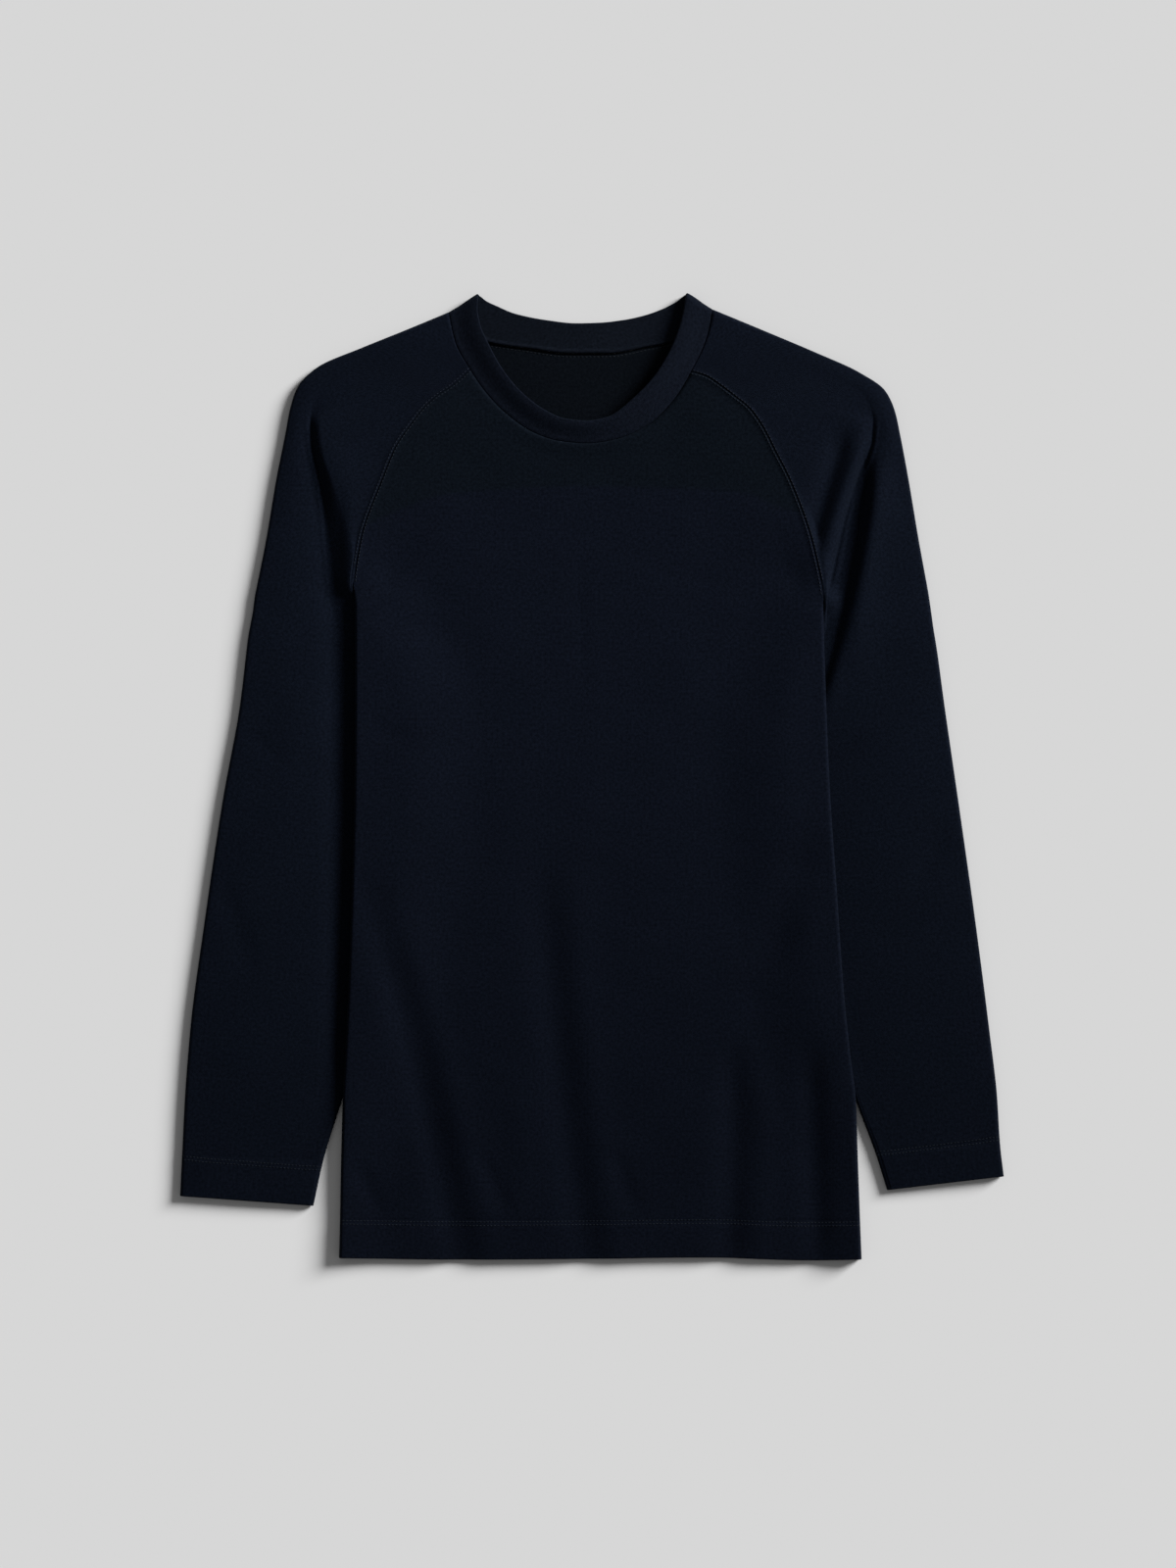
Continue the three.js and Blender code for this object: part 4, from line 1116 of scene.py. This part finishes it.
    def build(self, name: str) -> bpy.types.Object:
        """Makes the sleeve and keeps its wall for the stitching.

        Args:
            name: the piece's name.

        Returns:
            The object.
        """
        s, z, angles = self.section()
        end = np.where(self.layer_up[None, :, None], self.upper, self.lower)
        plan = self.outer + unit(end - self.outer) * s[..., None]
        grid = np.concatenate([plan, self.finished(plan, s, z)[..., None]], axis=-1)
        to_neck = self.neck_places(s[-1], angles) - grid[-1]
        grid = grid + to_neck * (np.clip(self.v - (NECK - 1), 0, 1) ** 2)[..., None]
        grid[..., 2] = np.maximum(grid[..., 2], 0)
        around = run_along(grid)
        length = np.broadcast_to(run_along(grid[:, self.fold_column])[:, None], s.shape)
        cloth = np.stack([around - around[:, [self.fold_column]], length], axis=-1)
        thick = np.broadcast_to(CLOTH + HEM_EXTRA * self.hem, s.shape)
        facing = -1.0 if self.side is Side.LEFT else 1.0
        self.wall = Wall(grid, thick, cloth, closed=self.closed[:, 0], facing=facing)
        self.wall.masks = masks_of(grid)
        return self.wall.mesh(name)

    def neck_places(self, s: Array, turn: Array) -> Array:
        """The row of places on the neck seam that the sections end in.

        Args:
            s: the last section's distances from the outer fold.
            turn: angles around the outer fold.

        Returns:
            Places by column.
        """
        places = np.zeros((len(s), 3))
        for layer, chosen, reach in ((Layer.FRONT, self.layer_up, self.reach_up[-1, 0]),
                                     (Layer.BACK, ~self.layer_up, self.reach_low[-1, 0])):
            half = self.lay.necks[layer]
            rows = FRONT_SEAM_ROWS if layer is Layer.FRONT else BACK_SEAM_ROWS
            from_start = (self.side is Side.LEFT) == (layer is Layer.FRONT)
            most = (half.knots[rows[0]] if from_start else half.length - half.knots[rows[1]]) - HALF_GAP
            share = np.clip((s - ARM_FOLD) / (reach - ARM_FOLD), 0, 1)
            run = np.where(s <= ARM_FOLD, s, lerp(ARM_FOLD, most, share))
            run = run if from_start else half.length - run
            along, _ = half.directions(run, turn)
            placed = half.place(run, turn, np.zeros_like(run)) - along * HALF_GAP
            places[chosen] = placed[chosen]
        return places


@dataclass
class Neckband:
    """The doubled band round the neck: a section carried along its seam, round the front and then the back.

    The front's outer face stands up by crown * sin(pi * w)^crown_power plus a smooth rise, less a valley at the
    seam, and the crown turns into a hollow towards the left. On the back the band is thicker by a roll beside
    its seam. The free edge turns down as a quarter circle, while its thickness shrinks there.
    """

    lay: Lay
    step: float = 1.6
    fold_steps: int = 7
    columns: int = 26
    lip_columns: tuple[float, ...] = (0.965, 0.98, 0.99)
    crown: float = 0.55
    hollow: float = 0.3
    crown_span: Span = (-80.0, 40.0)
    crown_power: float = 0.7
    valley: float = 0.45
    valley_wide: float = 1.2
    rise: float = 2.5
    rise_span: Span = (0.12, 0.88)
    lip: float = 1.1
    roll: float = 1.0
    roll_at: float = 1.5
    roll_wide: float = 1.1

    def run(self, half: NeckHalf) -> tuple[Array, Array]:
        """Sections along one half: close together round both shoulder folds and even between them.

        Args:
            half: the half of the neck.

        Returns:
            Running distances along the seam, and angles around the fold.
        """
        turn_up = np.linspace(0, RIGHT_ANGLE, self.fold_steps)
        bends = ARM_FOLD * (1 - np.cos(turn_up))
        flats = np.linspace(ARM_FOLD, half.length - ARM_FOLD, round(half.length / self.step))[1:-1]
        s = np.concatenate([bends, flats, half.length - bends[::-1][:-1]])
        return s, np.concatenate([turn_up, np.full(len(flats), RIGHT_ANGLE), turn_up[::-1][:-1]])

    def build(self, name: str) -> bpy.types.Object:
        """Makes the band.

        Args:
            name: the piece's name.

        Returns:
            The object.
        """
        w = np.sort(np.concatenate([np.linspace(0, 1, self.columns), self.lip_columns]))
        rows, normals, cloth, thick = [], [], [], []
        gone = 0.0
        for layer, half in self.lay.necks.items():
            s, turn = self.run(half)
            s_grid, w_grid = np.meshgrid(s, w, indexing="ij")
            turn_grid = np.broadcast_to(turn[:, None], s_grid.shape)
            along, normal = half.directions(s_grid, turn_grid)
            width = np.linalg.norm(half.edge(s) - half.seam(s), axis=1)[:, None]
            from_seam = w * width
            place = half.place(s_grid, turn_grid, w_grid) + along * (HALF_GAP * (1 - w))[None, :, None]
            drop = edge_drop((1 - w)[None, :] * width, self.lip)
            crown = lerp(-self.hollow, self.crown, smooth(*self.crown_span, half.curves["seam_x"](s)))[:, None]
            valley = self.valley * np.exp(-((from_seam / self.valley_wide) ** 2))
            shape = crown * np.sin(math.pi * w) ** self.crown_power - valley
            shape = shape + self.rise * smooth(*self.rise_span, w)
            stand = shape * (layer is Layer.FRONT) * np.sin(turn_grid)
            rows.append(place + normal * (stand - drop)[..., None])
            roll = self.roll * np.exp(-(((from_seam - self.roll_at) / self.roll_wide) ** 2)) * np.sin(turn_grid)
            thick.append(BAND - 2 * drop + roll * (layer is Layer.BACK))
            normals.append(normal)
            cloth.append(np.stack([s_grid + gone, from_seam], axis=-1))
            gone += half.length
        grid = np.concatenate(rows)
        wall = Wall(grid, np.concatenate(thick), np.concatenate(cloth), ring=True,
                    normals=np.concatenate(normals))
        wall.masks = masks_of(grid)
        return wall.mesh(name)


def inset(wall: Wall, distance: float, rows: slice, from_end: bool = False, across: bool = False,
          inner: bool = False) -> tuple[Array, Array]:
    """A path on a wall's face at a fixed distance from one of its edges.

    Args:
        wall: the wall.
        distance: how far from the edge, along the cloth, in millimetres.
        rows: which rows, or columns where across is true, the path crosses.
        from_end: measure from the last column or row.
        across: measure along the columns, so that the path runs across.
        inner: take the inner face.

    Returns:
        Places and normals along the path.
    """
    grid = wall.grid - wall.normals * wall.thick[..., None] if inner else wall.grid
    normals = -wall.normals if inner else wall.normals
    if across:
        grid, normals = grid.swapaxes(0, 1), normals.swapaxes(0, 1)
    if from_end:
        grid, normals = grid[:, ::-1], normals[:, ::-1]
    grid, normals = grid[rows], normals[rows]
    length = run_along(grid)
    j = np.clip((length < distance).sum(axis=1) - 1, 0, grid.shape[1] - 2)
    k = np.arange(len(grid))
    share = ((distance - length[k, j]) / np.maximum(length[k, j + 1] - length[k, j], 1e-9))[:, None]
    return lerp(grid[k, j], grid[k, j + 1], share), unit(lerp(normals[k, j], normals[k, j + 1], share))


def read_between(values: Array, length: Array, where: Array) -> Array:
    """Vectors that are given along a running length, read at other places of it."""
    return np.stack([np.interp(where, length, values[:, c]) for c in range(3)], axis=1)


@dataclass
class Stitching:
    """A row of stitches on the cloth: small spindles of thread, one for each stitch.

    Along a stitch the thread's radius goes from thin to 1 of its full size as sqrt(sin(pi * t)). Its height
    above the cloth follows the same curve, so both ends dip in by sunk of the radius.
    """

    pitch: float = 2.6
    length: float = 2.2
    radius: float = 0.24
    thin: float = 0.1
    sunk: float = 0.35
    nearby: float = 0.6
    rings: int = 5
    sides: int = 5

    def spindles(self, path: Array, normals: Array) -> tuple[Array, Array]:
        """Stitches along one path.

        Args:
            path: places along the path.
            normals: the cloth's normals there.

        Returns:
            Vertices and quad corners.
        """
        length = run_along(path)
        count = max(1, int(length[-1] / self.pitch))
        at = (np.arange(count) + 0.5) * length[-1] / count
        middle = read_between(path, length, at)
        after, before = (read_between(path, length, at + shift) for shift in (self.nearby, -self.nearby))
        up = unit(read_between(normals, length, at))
        ahead = unit(after - before)
        side = unit(np.cross(ahead, up))
        t = np.linspace(0, 1, self.rings)
        swell = lerp(self.thin, 1, np.sqrt(np.maximum(np.sin(math.pi * t), 0)))
        around = np.linspace(0, 2 * math.pi, self.sides, endpoint=False)
        centre = middle[:, None, :] + ahead[:, None, :] * ((t - 0.5) * self.length)[None, :, None]
        centre = centre + up[:, None, :] * (self.radius * (swell - self.sunk))[None, :, None]
        ring = (side[:, None, None, :] * np.cos(around)[None, None, :, None]
                + up[:, None, None, :] * np.sin(around)[None, None, :, None])
        places = centre[:, :, None, :] + ring * (self.radius * swell)[None, :, None, None]
        j, k = np.meshgrid(np.arange(self.rings - 1), np.arange(self.sides), indexing="ij")
        after = (k + 1) % self.sides
        quad = np.stack([j * self.sides + k, j * self.sides + after, (j + 1) * self.sides + after,
                         (j + 1) * self.sides + k], axis=-1).reshape(-1, 4)
        shift = np.arange(count)[:, None, None] * self.rings * self.sides
        return places.reshape(-1, 3), (quad[None] + shift).reshape(-1, 4)

    def build(self, name: str, paths: list[tuple[Array, Array]]) -> bpy.types.Object:
        """Makes one joined mesh of all stitches along several paths.

        Args:
            name: the piece's name.
            paths: places and normals of each path.

        Returns:
            The object, linked to the scene.
        """
        places, faces, gone = [], [], 0
        for path, normals in paths:
            some, quads = self.spindles(path, normals)
            places.append(some)
            faces.append(quads + gone)
            gone += len(some)
        mesh = bpy.data.meshes.new(name)
        mesh.from_pydata(np.concatenate(places) * MM, [], np.concatenate(faces))
        mesh.polygons.foreach_set("use_smooth", np.ones(len(mesh.polygons), bool))
        close_ends(mesh)
        piece = bpy.data.objects.new(name, mesh)
        bpy.context.scene.collection.objects.link(piece)
        return piece


def close_ends(mesh: bpy.types.Mesh) -> None:
    """Closes the open ends of all spindles and turns the faces outwards.

    Args:
        mesh: the mesh of the stitches.
    """
    work = bmesh.new()
    work.from_mesh(mesh)
    bmesh.ops.holes_fill(work, edges=[e for e in work.edges if e.is_boundary], sides=0)
    bmesh.ops.recalc_face_normals(work, faces=work.faces)
    work.to_mesh(mesh)
    work.free()


# The knit's look: how far a stitch's legs slant, how round its loops are, what stitch and fuzz add to the
# colour mix (the stitch's part is painted shade between the loops, the fuzz's part random tone), the usual span
# of a noise, and the scale and detail of each
KNIT_SLANT = 1.4
KNIT_ROUND = 0.6
STITCH_SHADE_FUZZ = (0.5, 0.8)
NOISE_SPAN = (0.3, 0.7)
KNIT_NOISES = {"Fuzz": (1400, 3), "Drift": (22, 4), "Fleck": (480, 3)}


class KnitNodes:
    """The fine knit as a node group: rows of small V stitches from the cloth's own UV map."""

    def __init__(self) -> None:
        """Builds the group once."""
        self.group = bpy.data.node_groups.new("fine_knit", "ShaderNodeTree")
        face = self.group.interface
        face.new_socket("Cloth", in_out="INPUT", socket_type="NodeSocketVector")
        for name, value in (("Wale", 0.001), ("Course", 0.0008), ("Fuzz", 0.4)):
            face.new_socket(name, in_out="INPUT", socket_type="NodeSocketFloat").default_value = value
        for name in ("Height", "PaintedShadeFuzz", "Drift", "Fleck"):
            face.new_socket(name, in_out="OUTPUT", socket_type="NodeSocketFloat")
        self.wire()

    def math(self, kind: str, first: object, second: object = None) -> bpy.types.NodeSocket:
        """Adds a Math node to the group.

        Args:
            kind: its operation.
            first: its first input, a socket or a number.
            second: its second input, if it has one.

        Returns:
            The node's output.
        """
        node = self.group.nodes.new("ShaderNodeMath")
        node.operation = kind
        for place, value in enumerate((first, second)):
            if value is None:
                continue
            if isinstance(value, (int, float)):
                node.inputs[place].default_value = value
            else:
                self.group.links.new(value, node.inputs[place])
        return node.outputs[0]

    def wire(self) -> None:
        """Joins the nodes: each wale has two legs, humps that slant up towards its middle."""
        links = self.group.links
        given = self.group.nodes.new("NodeGroupInput")
        result = self.group.nodes.new("NodeGroupOutput")
        split = self.group.nodes.new("ShaderNodeSeparateXYZ")
        links.new(given.outputs["Cloth"], split.inputs[0])
        across = self.math("FRACT", self.math("DIVIDE", split.outputs[0], given.outputs["Wale"]))
        leg = self.math("ABSOLUTE", self.math("SUBTRACT", across, 0.5))
        hump = self.math("SINE", self.math("MULTIPLY", leg, 2 * math.pi))
        along = self.math("DIVIDE", split.outputs[1], given.outputs["Course"])
        slanted = self.math("FRACT", self.math("ADD", along, self.math("MULTIPLY", leg, KNIT_SLANT)))
        loop = self.math("SINE", self.math("MULTIPLY", slanted, math.pi))
        stitch = self.math("MULTIPLY", hump, self.math("POWER", loop, KNIT_ROUND))
        noises = {}
        for name, (scale, detail) in KNIT_NOISES.items():
            noise = self.group.nodes.new("ShaderNodeTexNoise")
            noise.inputs["Scale"].default_value = scale
            noise.inputs["Detail"].default_value = detail
            links.new(given.outputs["Cloth"], noise.inputs["Vector"])
            noises[name] = noise.outputs["Fac"]
        fuzz = self.math("MULTIPLY", noises["Fuzz"], given.outputs["Fuzz"])
        # Painted shade: the stitch's height lightens the loops and darkens the hollows between them; the fuzz
        # adds random tone
        shades = [self.math("MULTIPLY", part, share) for part, share in zip((stitch, fuzz), STITCH_SHADE_FUZZ)]
        links.new(self.math("ADD", stitch, fuzz), result.inputs["Height"])
        links.new(self.math("ADD", *shades), result.inputs["PaintedShadeFuzz"])
        for name in ("Drift", "Fleck"):
            links.new(noises[name], result.inputs[name])


@dataclass(frozen=True)
class KnitFinish:
    """A matte, very dark knit. Colours are linear; zone and inside are what they are multiplied by there."""

    name: str
    low: tuple[float, float, float]
    high: tuple[float, float, float]
    zone: tuple[float, float, float]
    inside: tuple[float, float, float]
    wale: float = 0.0011
    course: float = 0.0009
    relief: float = 0.00012
    fleck: float = 0.42
    roughness: float = 0.85
    specular: float = 0.05
    tint: tuple[float, float, float, float] = (0.45, 0.6, 1.0, 1.0)
    sheen: float = 0.02
    sheen_roughness: float = 0.5
    sheen_tint: tuple[float, float, float, float] = (0.6, 0.75, 1.0, 1.0)
    drift: Span = (0.93, 1.07)

    def make(self, knit: KnitNodes) -> bpy.types.Material:
        """Builds the material.

        Args:
            knit: the shared knit group.

        Returns:
            The material.
        """
        material = bpy.data.materials.new(self.name)
        material.use_nodes = True
        nodes, links = material.node_tree.nodes, material.node_tree.links
        shader = nodes["Principled BSDF"]
        uv = nodes.new("ShaderNodeUVMap")
        uv.uv_map = "cloth"
        group = nodes.new("ShaderNodeGroup")
        group.node_tree = knit.group
        group.inputs["Wale"].default_value = self.wale
        group.inputs["Course"].default_value = self.course
        links.new(uv.outputs[0], group.inputs["Cloth"])
        # Painted shade and random fuzz: low is the colour in the knit's hollows, high on its loops
        colour = self.mix(nodes, links, group.outputs["PaintedShadeFuzz"], self.low, self.high)
        drifted = self.scaled(nodes, links, group.outputs["Drift"], self.drift, colour)
        drifted = self.scaled(nodes, links, group.outputs["Fleck"], (1 - self.fleck, 1 + self.fleck), drifted)
        # Painted shade: the colour is scaled down by the falloff mask, darker towards the hem and cuffs
        falloff_shade = nodes.new("ShaderNodeAttribute")
        falloff_shade.attribute_name = "falloff_shade"
        deepened = nodes.new("ShaderNodeVectorMath")
        deepened.operation = "SCALE"
        links.new(drifted, deepened.inputs[0])
        links.new(falloff_shade.outputs["Fac"], deepened.inputs["Scale"])
        drifted = deepened.outputs[0]
        for mask, shade in (("zone", self.zone), ("inside", self.inside)):
            attribute = nodes.new("ShaderNodeAttribute")
            attribute.attribute_name = mask
            scaled = nodes.new("ShaderNodeMix")
            scaled.data_type = "RGBA"
            scaled.blend_type = "MULTIPLY"
            links.new(attribute.outputs["Fac"], scaled.inputs["Factor"])
            links.new(drifted, scaled.inputs[6])
            scaled.inputs[7].default_value = (*shade, 1)
            drifted = scaled.outputs[2]
        links.new(drifted, shader.inputs["Base Color"])
        bump = nodes.new("ShaderNodeBump")
        bump.inputs["Distance"].default_value = self.relief
        links.new(group.outputs["Height"], bump.inputs["Height"])
        links.new(bump.outputs[0], shader.inputs["Normal"])
        shader.inputs["Roughness"].default_value = self.roughness
        shader.inputs["Specular IOR Level"].default_value = self.specular
        shader.inputs["Specular Tint"].default_value = self.tint
        shader.inputs["Sheen Weight"].default_value = self.sheen
        shader.inputs["Sheen Roughness"].default_value = self.sheen_roughness
        shader.inputs["Sheen Tint"].default_value = self.sheen_tint
        return material

    @staticmethod
    def mix(nodes: bpy.types.Nodes, links: bpy.types.NodeLinks, factor: bpy.types.NodeSocket,
            first: tuple[float, ...], second: tuple[float, ...]) -> bpy.types.NodeSocket:
        """A colour between two, by a factor that changes over the surface.

        Args:
            nodes: the material's nodes.
            links: the material's links.
            factor: 0 for the first colour and 1 for the second.
            first: the first colour.
            second: the second colour.

        Returns:
            The colour's socket.
        """
        node = nodes.new("ShaderNodeMix")
        node.data_type = "RGBA"
        links.new(factor, node.inputs["Factor"])
        node.inputs[6].default_value = (*first, 1)
        node.inputs[7].default_value = (*second, 1)
        return node.outputs[2]

    @staticmethod
    def scaled(nodes: bpy.types.Nodes, links: bpy.types.NodeLinks, noise: bpy.types.NodeSocket,
               span: tuple[float, float], colour: bpy.types.NodeSocket) -> bpy.types.NodeSocket:
        """The colour made a little lighter or darker by a noise.

        Args:
            nodes: the material's nodes.
            links: the material's links.
            noise: the noise.
            span: what the colour is multiplied by where the noise is lowest and highest.
            colour: the colour's socket.

        Returns:
            The changed colour's socket.
        """
        ranged = nodes.new("ShaderNodeMapRange")
        for name, value in zip(("From Min", "From Max", "To Min", "To Max"), (*NOISE_SPAN, *span)):
            ranged.inputs[name].default_value = value
        links.new(noise, ranged.inputs["Value"])
        scale = nodes.new("ShaderNodeVectorMath")
        scale.operation = "SCALE"
        links.new(colour, scale.inputs[0])
        links.new(ranged.outputs[0], scale.inputs["Scale"])
        return scale.outputs[0]


@dataclass(frozen=True)
class ThreadFinish:
    """Sewing thread with a slight twist."""

    name: str
    colour: tuple[float, float, float]
    twist: float = 2600.0
    twist_shade: float = 0.75
    relief: float = 0.00004
    roughness: float = 0.6
    specular: float = 0.12

    def make(self) -> bpy.types.Material:
        """Builds the material: wave bands for the twist on a smooth, slightly shiny thread, darkened as painted
        shade in its grooves.

        Returns:
            The material.
        """
        material = bpy.data.materials.new(self.name)
        material.use_nodes = True
        nodes, links = material.node_tree.nodes, material.node_tree.links
        shader = nodes["Principled BSDF"]
        where = nodes.new("ShaderNodeTexCoord")
        wave = nodes.new("ShaderNodeTexWave")
        wave.inputs["Scale"].default_value = self.twist
        wave.bands_direction = "DIAGONAL"
        links.new(where.outputs["Object"], wave.inputs["Vector"])
        # Painted shade: the wave darkens the thread's colour in the twist's grooves
        colour = nodes.new("ShaderNodeMix")
        colour.data_type = "RGBA"
        links.new(wave.outputs["Fac"], colour.inputs["Factor"])
        colour.inputs[6].default_value = (*(self.twist_shade * part for part in self.colour), 1)
        colour.inputs[7].default_value = (*self.colour, 1)
        links.new(colour.outputs[2], shader.inputs["Base Color"])
        bump = nodes.new("ShaderNodeBump")
        bump.inputs["Distance"].default_value = self.relief
        links.new(wave.outputs["Fac"], bump.inputs["Height"])
        links.new(bump.outputs[0], shader.inputs["Normal"])
        shader.inputs["Roughness"].default_value = self.roughness
        shader.inputs["Specular IOR Level"].default_value = self.specular
        return material


@dataclass
class Studio:
    """A plain pale floor, an even sky, a soft key from the upper right and a camera straight above."""

    floor_colour: tuple[float, float, float] = (0.8, 0.8, 0.8)
    floor_size: float = 12.0
    floor_level: float = -0.3
    sun_from: tuple[float, float, float] = (0.76, 0.48, 0.38)
    sun_energy: float = 5.56
    sun_angle: float = 24.0
    sky: float = 0.16
    distance: float = 4.0
    far: float = 100.0
    image: tuple[int, int] = (1200, 1600)
    origin: Point = (604.0, 793.0)
    pixel: float = 0.7246

    def build(self) -> None:
        """Makes the sky, the floor, the key light and the camera."""
        scene = bpy.context.scene
        scene.view_settings.view_transform = "Standard"
        world = bpy.data.worlds.new("sky")
        world.use_nodes = True
        sky = world.node_tree.nodes["Background"].inputs
        sky["Color"].default_value = (1, 1, 1, 1)
        sky["Strength"].default_value = self.sky
        scene.world = world
        self.lay_floor(scene)
        self.light(scene)
        self.look(scene)

    def lay_floor(self, scene: bpy.types.Scene) -> None:
        """Makes the floor.

        Args:
            scene: the scene.
        """
        half, level = self.floor_size / 2, self.floor_level * MM
        corners = [(x * half, y * half, level) for x, y in ((-1, -1), (1, -1), (1, 1), (-1, 1))]
        mesh = bpy.data.meshes.new("floor")
        mesh.from_pydata(corners, [], [(0, 1, 2, 3)])
        floor = bpy.data.objects.new("floor", mesh)
        scene.collection.objects.link(floor)
        material = bpy.data.materials.new("pale_floor")
        material.use_nodes = True
        shader = material.node_tree.nodes["Principled BSDF"]
        shader.inputs["Base Color"].default_value = (*self.floor_colour, 1)
        shader.inputs["Roughness"].default_value = 1.0
        shader.inputs["Specular IOR Level"].default_value = 0.0
        mesh.materials.append(material)

    def light(self, scene: bpy.types.Scene) -> None:
        """Makes the key light.

        Args:
            scene: the scene.
        """
        sun = bpy.data.lights.new("key", "SUN")
        sun.energy = self.sun_energy
        sun.angle = math.radians(self.sun_angle)
        lamp = bpy.data.objects.new("key", sun)
        lamp.rotation_mode = "QUATERNION"
        lamp.rotation_quaternion = Vector(self.sun_from).to_track_quat("Z", "Y")
        scene.collection.objects.link(lamp)

    def look(self, scene: bpy.types.Scene) -> None:
        """Makes the camera. origin is the image point over the frame's origin, and pixel its scale in mm.

        Args:
            scene: the scene.
        """
        lens = bpy.data.cameras.new("camera")
        height = self.image[1] * self.pixel * MM
        lens.lens = lens.sensor_width * self.distance / height
        lens.clip_end = self.far
        camera = bpy.data.objects.new("camera", lens)
        x = (self.image[0] / 2 - self.origin[0]) * self.pixel * MM
        y = (self.origin[1] - self.image[1] / 2) * self.pixel * MM
        camera.location = (x, y, self.distance)
        scene.collection.objects.link(camera)
        scene.camera = camera


@dataclass
class ThermalTop:
    """The whole top: its five sewn pieces and its stitching.

    Each row of stitches lies at its own distance from an edge, in millimetres along the cloth: needle from a
    raglan seam, hem_at and cuff_at from a folded edge, each less and plus twin, and neck_at from the neck seam.
    """

    lay: Lay = field(default_factory=Lay)
    needle: float = 1.4
    hem_at: float = 27.2
    cuff_at: float = 28.4
    twin: float = 1.3
    neck_at: float = 2.2

    def __post_init__(self) -> None:
        """Makes the finishes."""
        knit = KnitNodes()
        zone, inside, band_inside = (0.85, 0.965, 0.785), (0.76, 0.68, 0.6), (1.03, 1.02, 0.92)
        self.body_knit = KnitFinish("body_knit_fine", (0.003, 0.0043, 0.0086), (0.0049, 0.0067, 0.013),
                                    zone, inside).make(knit)
        self.sleeve_knit = KnitFinish("sleeve_knit_fine", (0.0028, 0.0042, 0.0082), (0.0046, 0.0066, 0.0124),
                                      zone, inside).make(knit)
        self.band_knit = KnitFinish("band_knit_fine", (0.0038, 0.0052, 0.0093), (0.0058, 0.0078, 0.0137),
                                    zone, band_inside, wale=0.0013, relief=0.00016).make(knit)
        self.thread = ThreadFinish("navy_thread", (0.015, 0.021, 0.033)).make()
        self.hem_thread = ThreadFinish("deep_thread", (0.0078, 0.012, 0.0185)).make()
        self.pale_thread = ThreadFinish("grey_thread", (0.014, 0.018, 0.024)).make()

    def dress(self, piece: bpy.types.Object, material: bpy.types.Material) -> None:
        """Gives a piece its material and lets it ride on the body.

        Args:
            piece: the piece.
            material: its finish.
        """
        piece.data.materials.append(material)
        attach(piece, BODY)
        LOG.info("%s: %d faces", piece.name, len(piece.data.polygons))

    def build(self) -> None:
        front_panel = Panel(self.lay, Layer.FRONT, FRONT_CREASES, seed=3)
        back_panel = Panel(self.lay, Layer.BACK, BACK_CREASES, seed=5, row_step=3.2, columns=120)
        left_sleeve = Sleeve(self.lay, Side.LEFT, LEFT_CREASES, seed=7, crease_width=8.0, low_width=18.0,
                             crease_most=0.94, shoulder_extra=1.0)
        right_sleeve = Sleeve(self.lay, Side.RIGHT, RIGHT_CREASES, seed=11)
        front = front_panel.build("front_cloth")
        back = back_panel.build("back_cloth")
        left = left_sleeve.build("left_sleeve_cloth")
        right = right_sleeve.build("right_sleeve_cloth")
        band = Neckband(self.lay).build("band_cloth")
        for piece, material, slot, node in (
                (front, self.body_knit, "body_knit", "front"), (back, self.body_knit, "body_knit", "back"),
                (left, self.sleeve_knit, "sleeve_knit", "sleeve_left"),
                (right, self.sleeve_knit, "sleeve_knit", "sleeve_right"),
                (band, self.band_knit, "band_knit", "neckband")):
            self.dress(piece, material)
            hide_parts(node)
        self.sew(front_panel, back_panel, (left_sleeve, right_sleeve))

    def sew(self, front: Panel, back: Panel, sleeves: tuple[Sleeve, Sleeve]) -> None:
        """Adds the stitching of the raglan seams, the hem, the cuffs and the back neck.

        Args:
            front: the front.
            back: the back.
            sleeves: the left and the right sleeve.
        """
        seams = []
        for sleeve in sleeves:
            for panel in (front, back):
                seam_rows = slice(panel.body_count + 1, None)
                seams.append(inset(panel.wall, self.needle, seam_rows, from_end=sleeve.side is Side.RIGHT))
            open_rows = slice(sleeve.open_from + 4, None)
            for from_end in (False, True):
                seams.append(inset(sleeve.wall, self.needle, open_rows, from_end=from_end))
        self.dress(Stitching().build("raglan_stitches", seams), self.thread)
        twins, inwards = (-self.twin, self.twin), slice(2, -2)
        hems = [inset(panel.wall, self.hem_at + shift, inwards, across=True) for panel in (front, back)
                for shift in twins]
        self.dress(Stitching().build("hem_stitches", hems), self.hem_thread)
        for sleeve in sleeves:
            cuffs = [inset(sleeve.wall, self.cuff_at + shift, inwards, across=True) for shift in twins]
            name = f"cuff_stitches_{sleeve.side.value}"
            self.dress(Stitching().build(name, cuffs), self.hem_thread)
        neck = inset(back.wall, self.neck_at, slice(5, -5), from_end=True, across=True, inner=True)
        chain = Stitching(pitch=2.9, length=2.4, radius=0.26)
        self.dress(chain.build("neck_stitches", [neck]), self.pale_thread)


def main() -> None:
    """Builds the studio and the top."""
    logging.basicConfig(level=logging.INFO)
    Studio().build()
    ThermalTop().build()


if __name__ == "__main__":
    main()
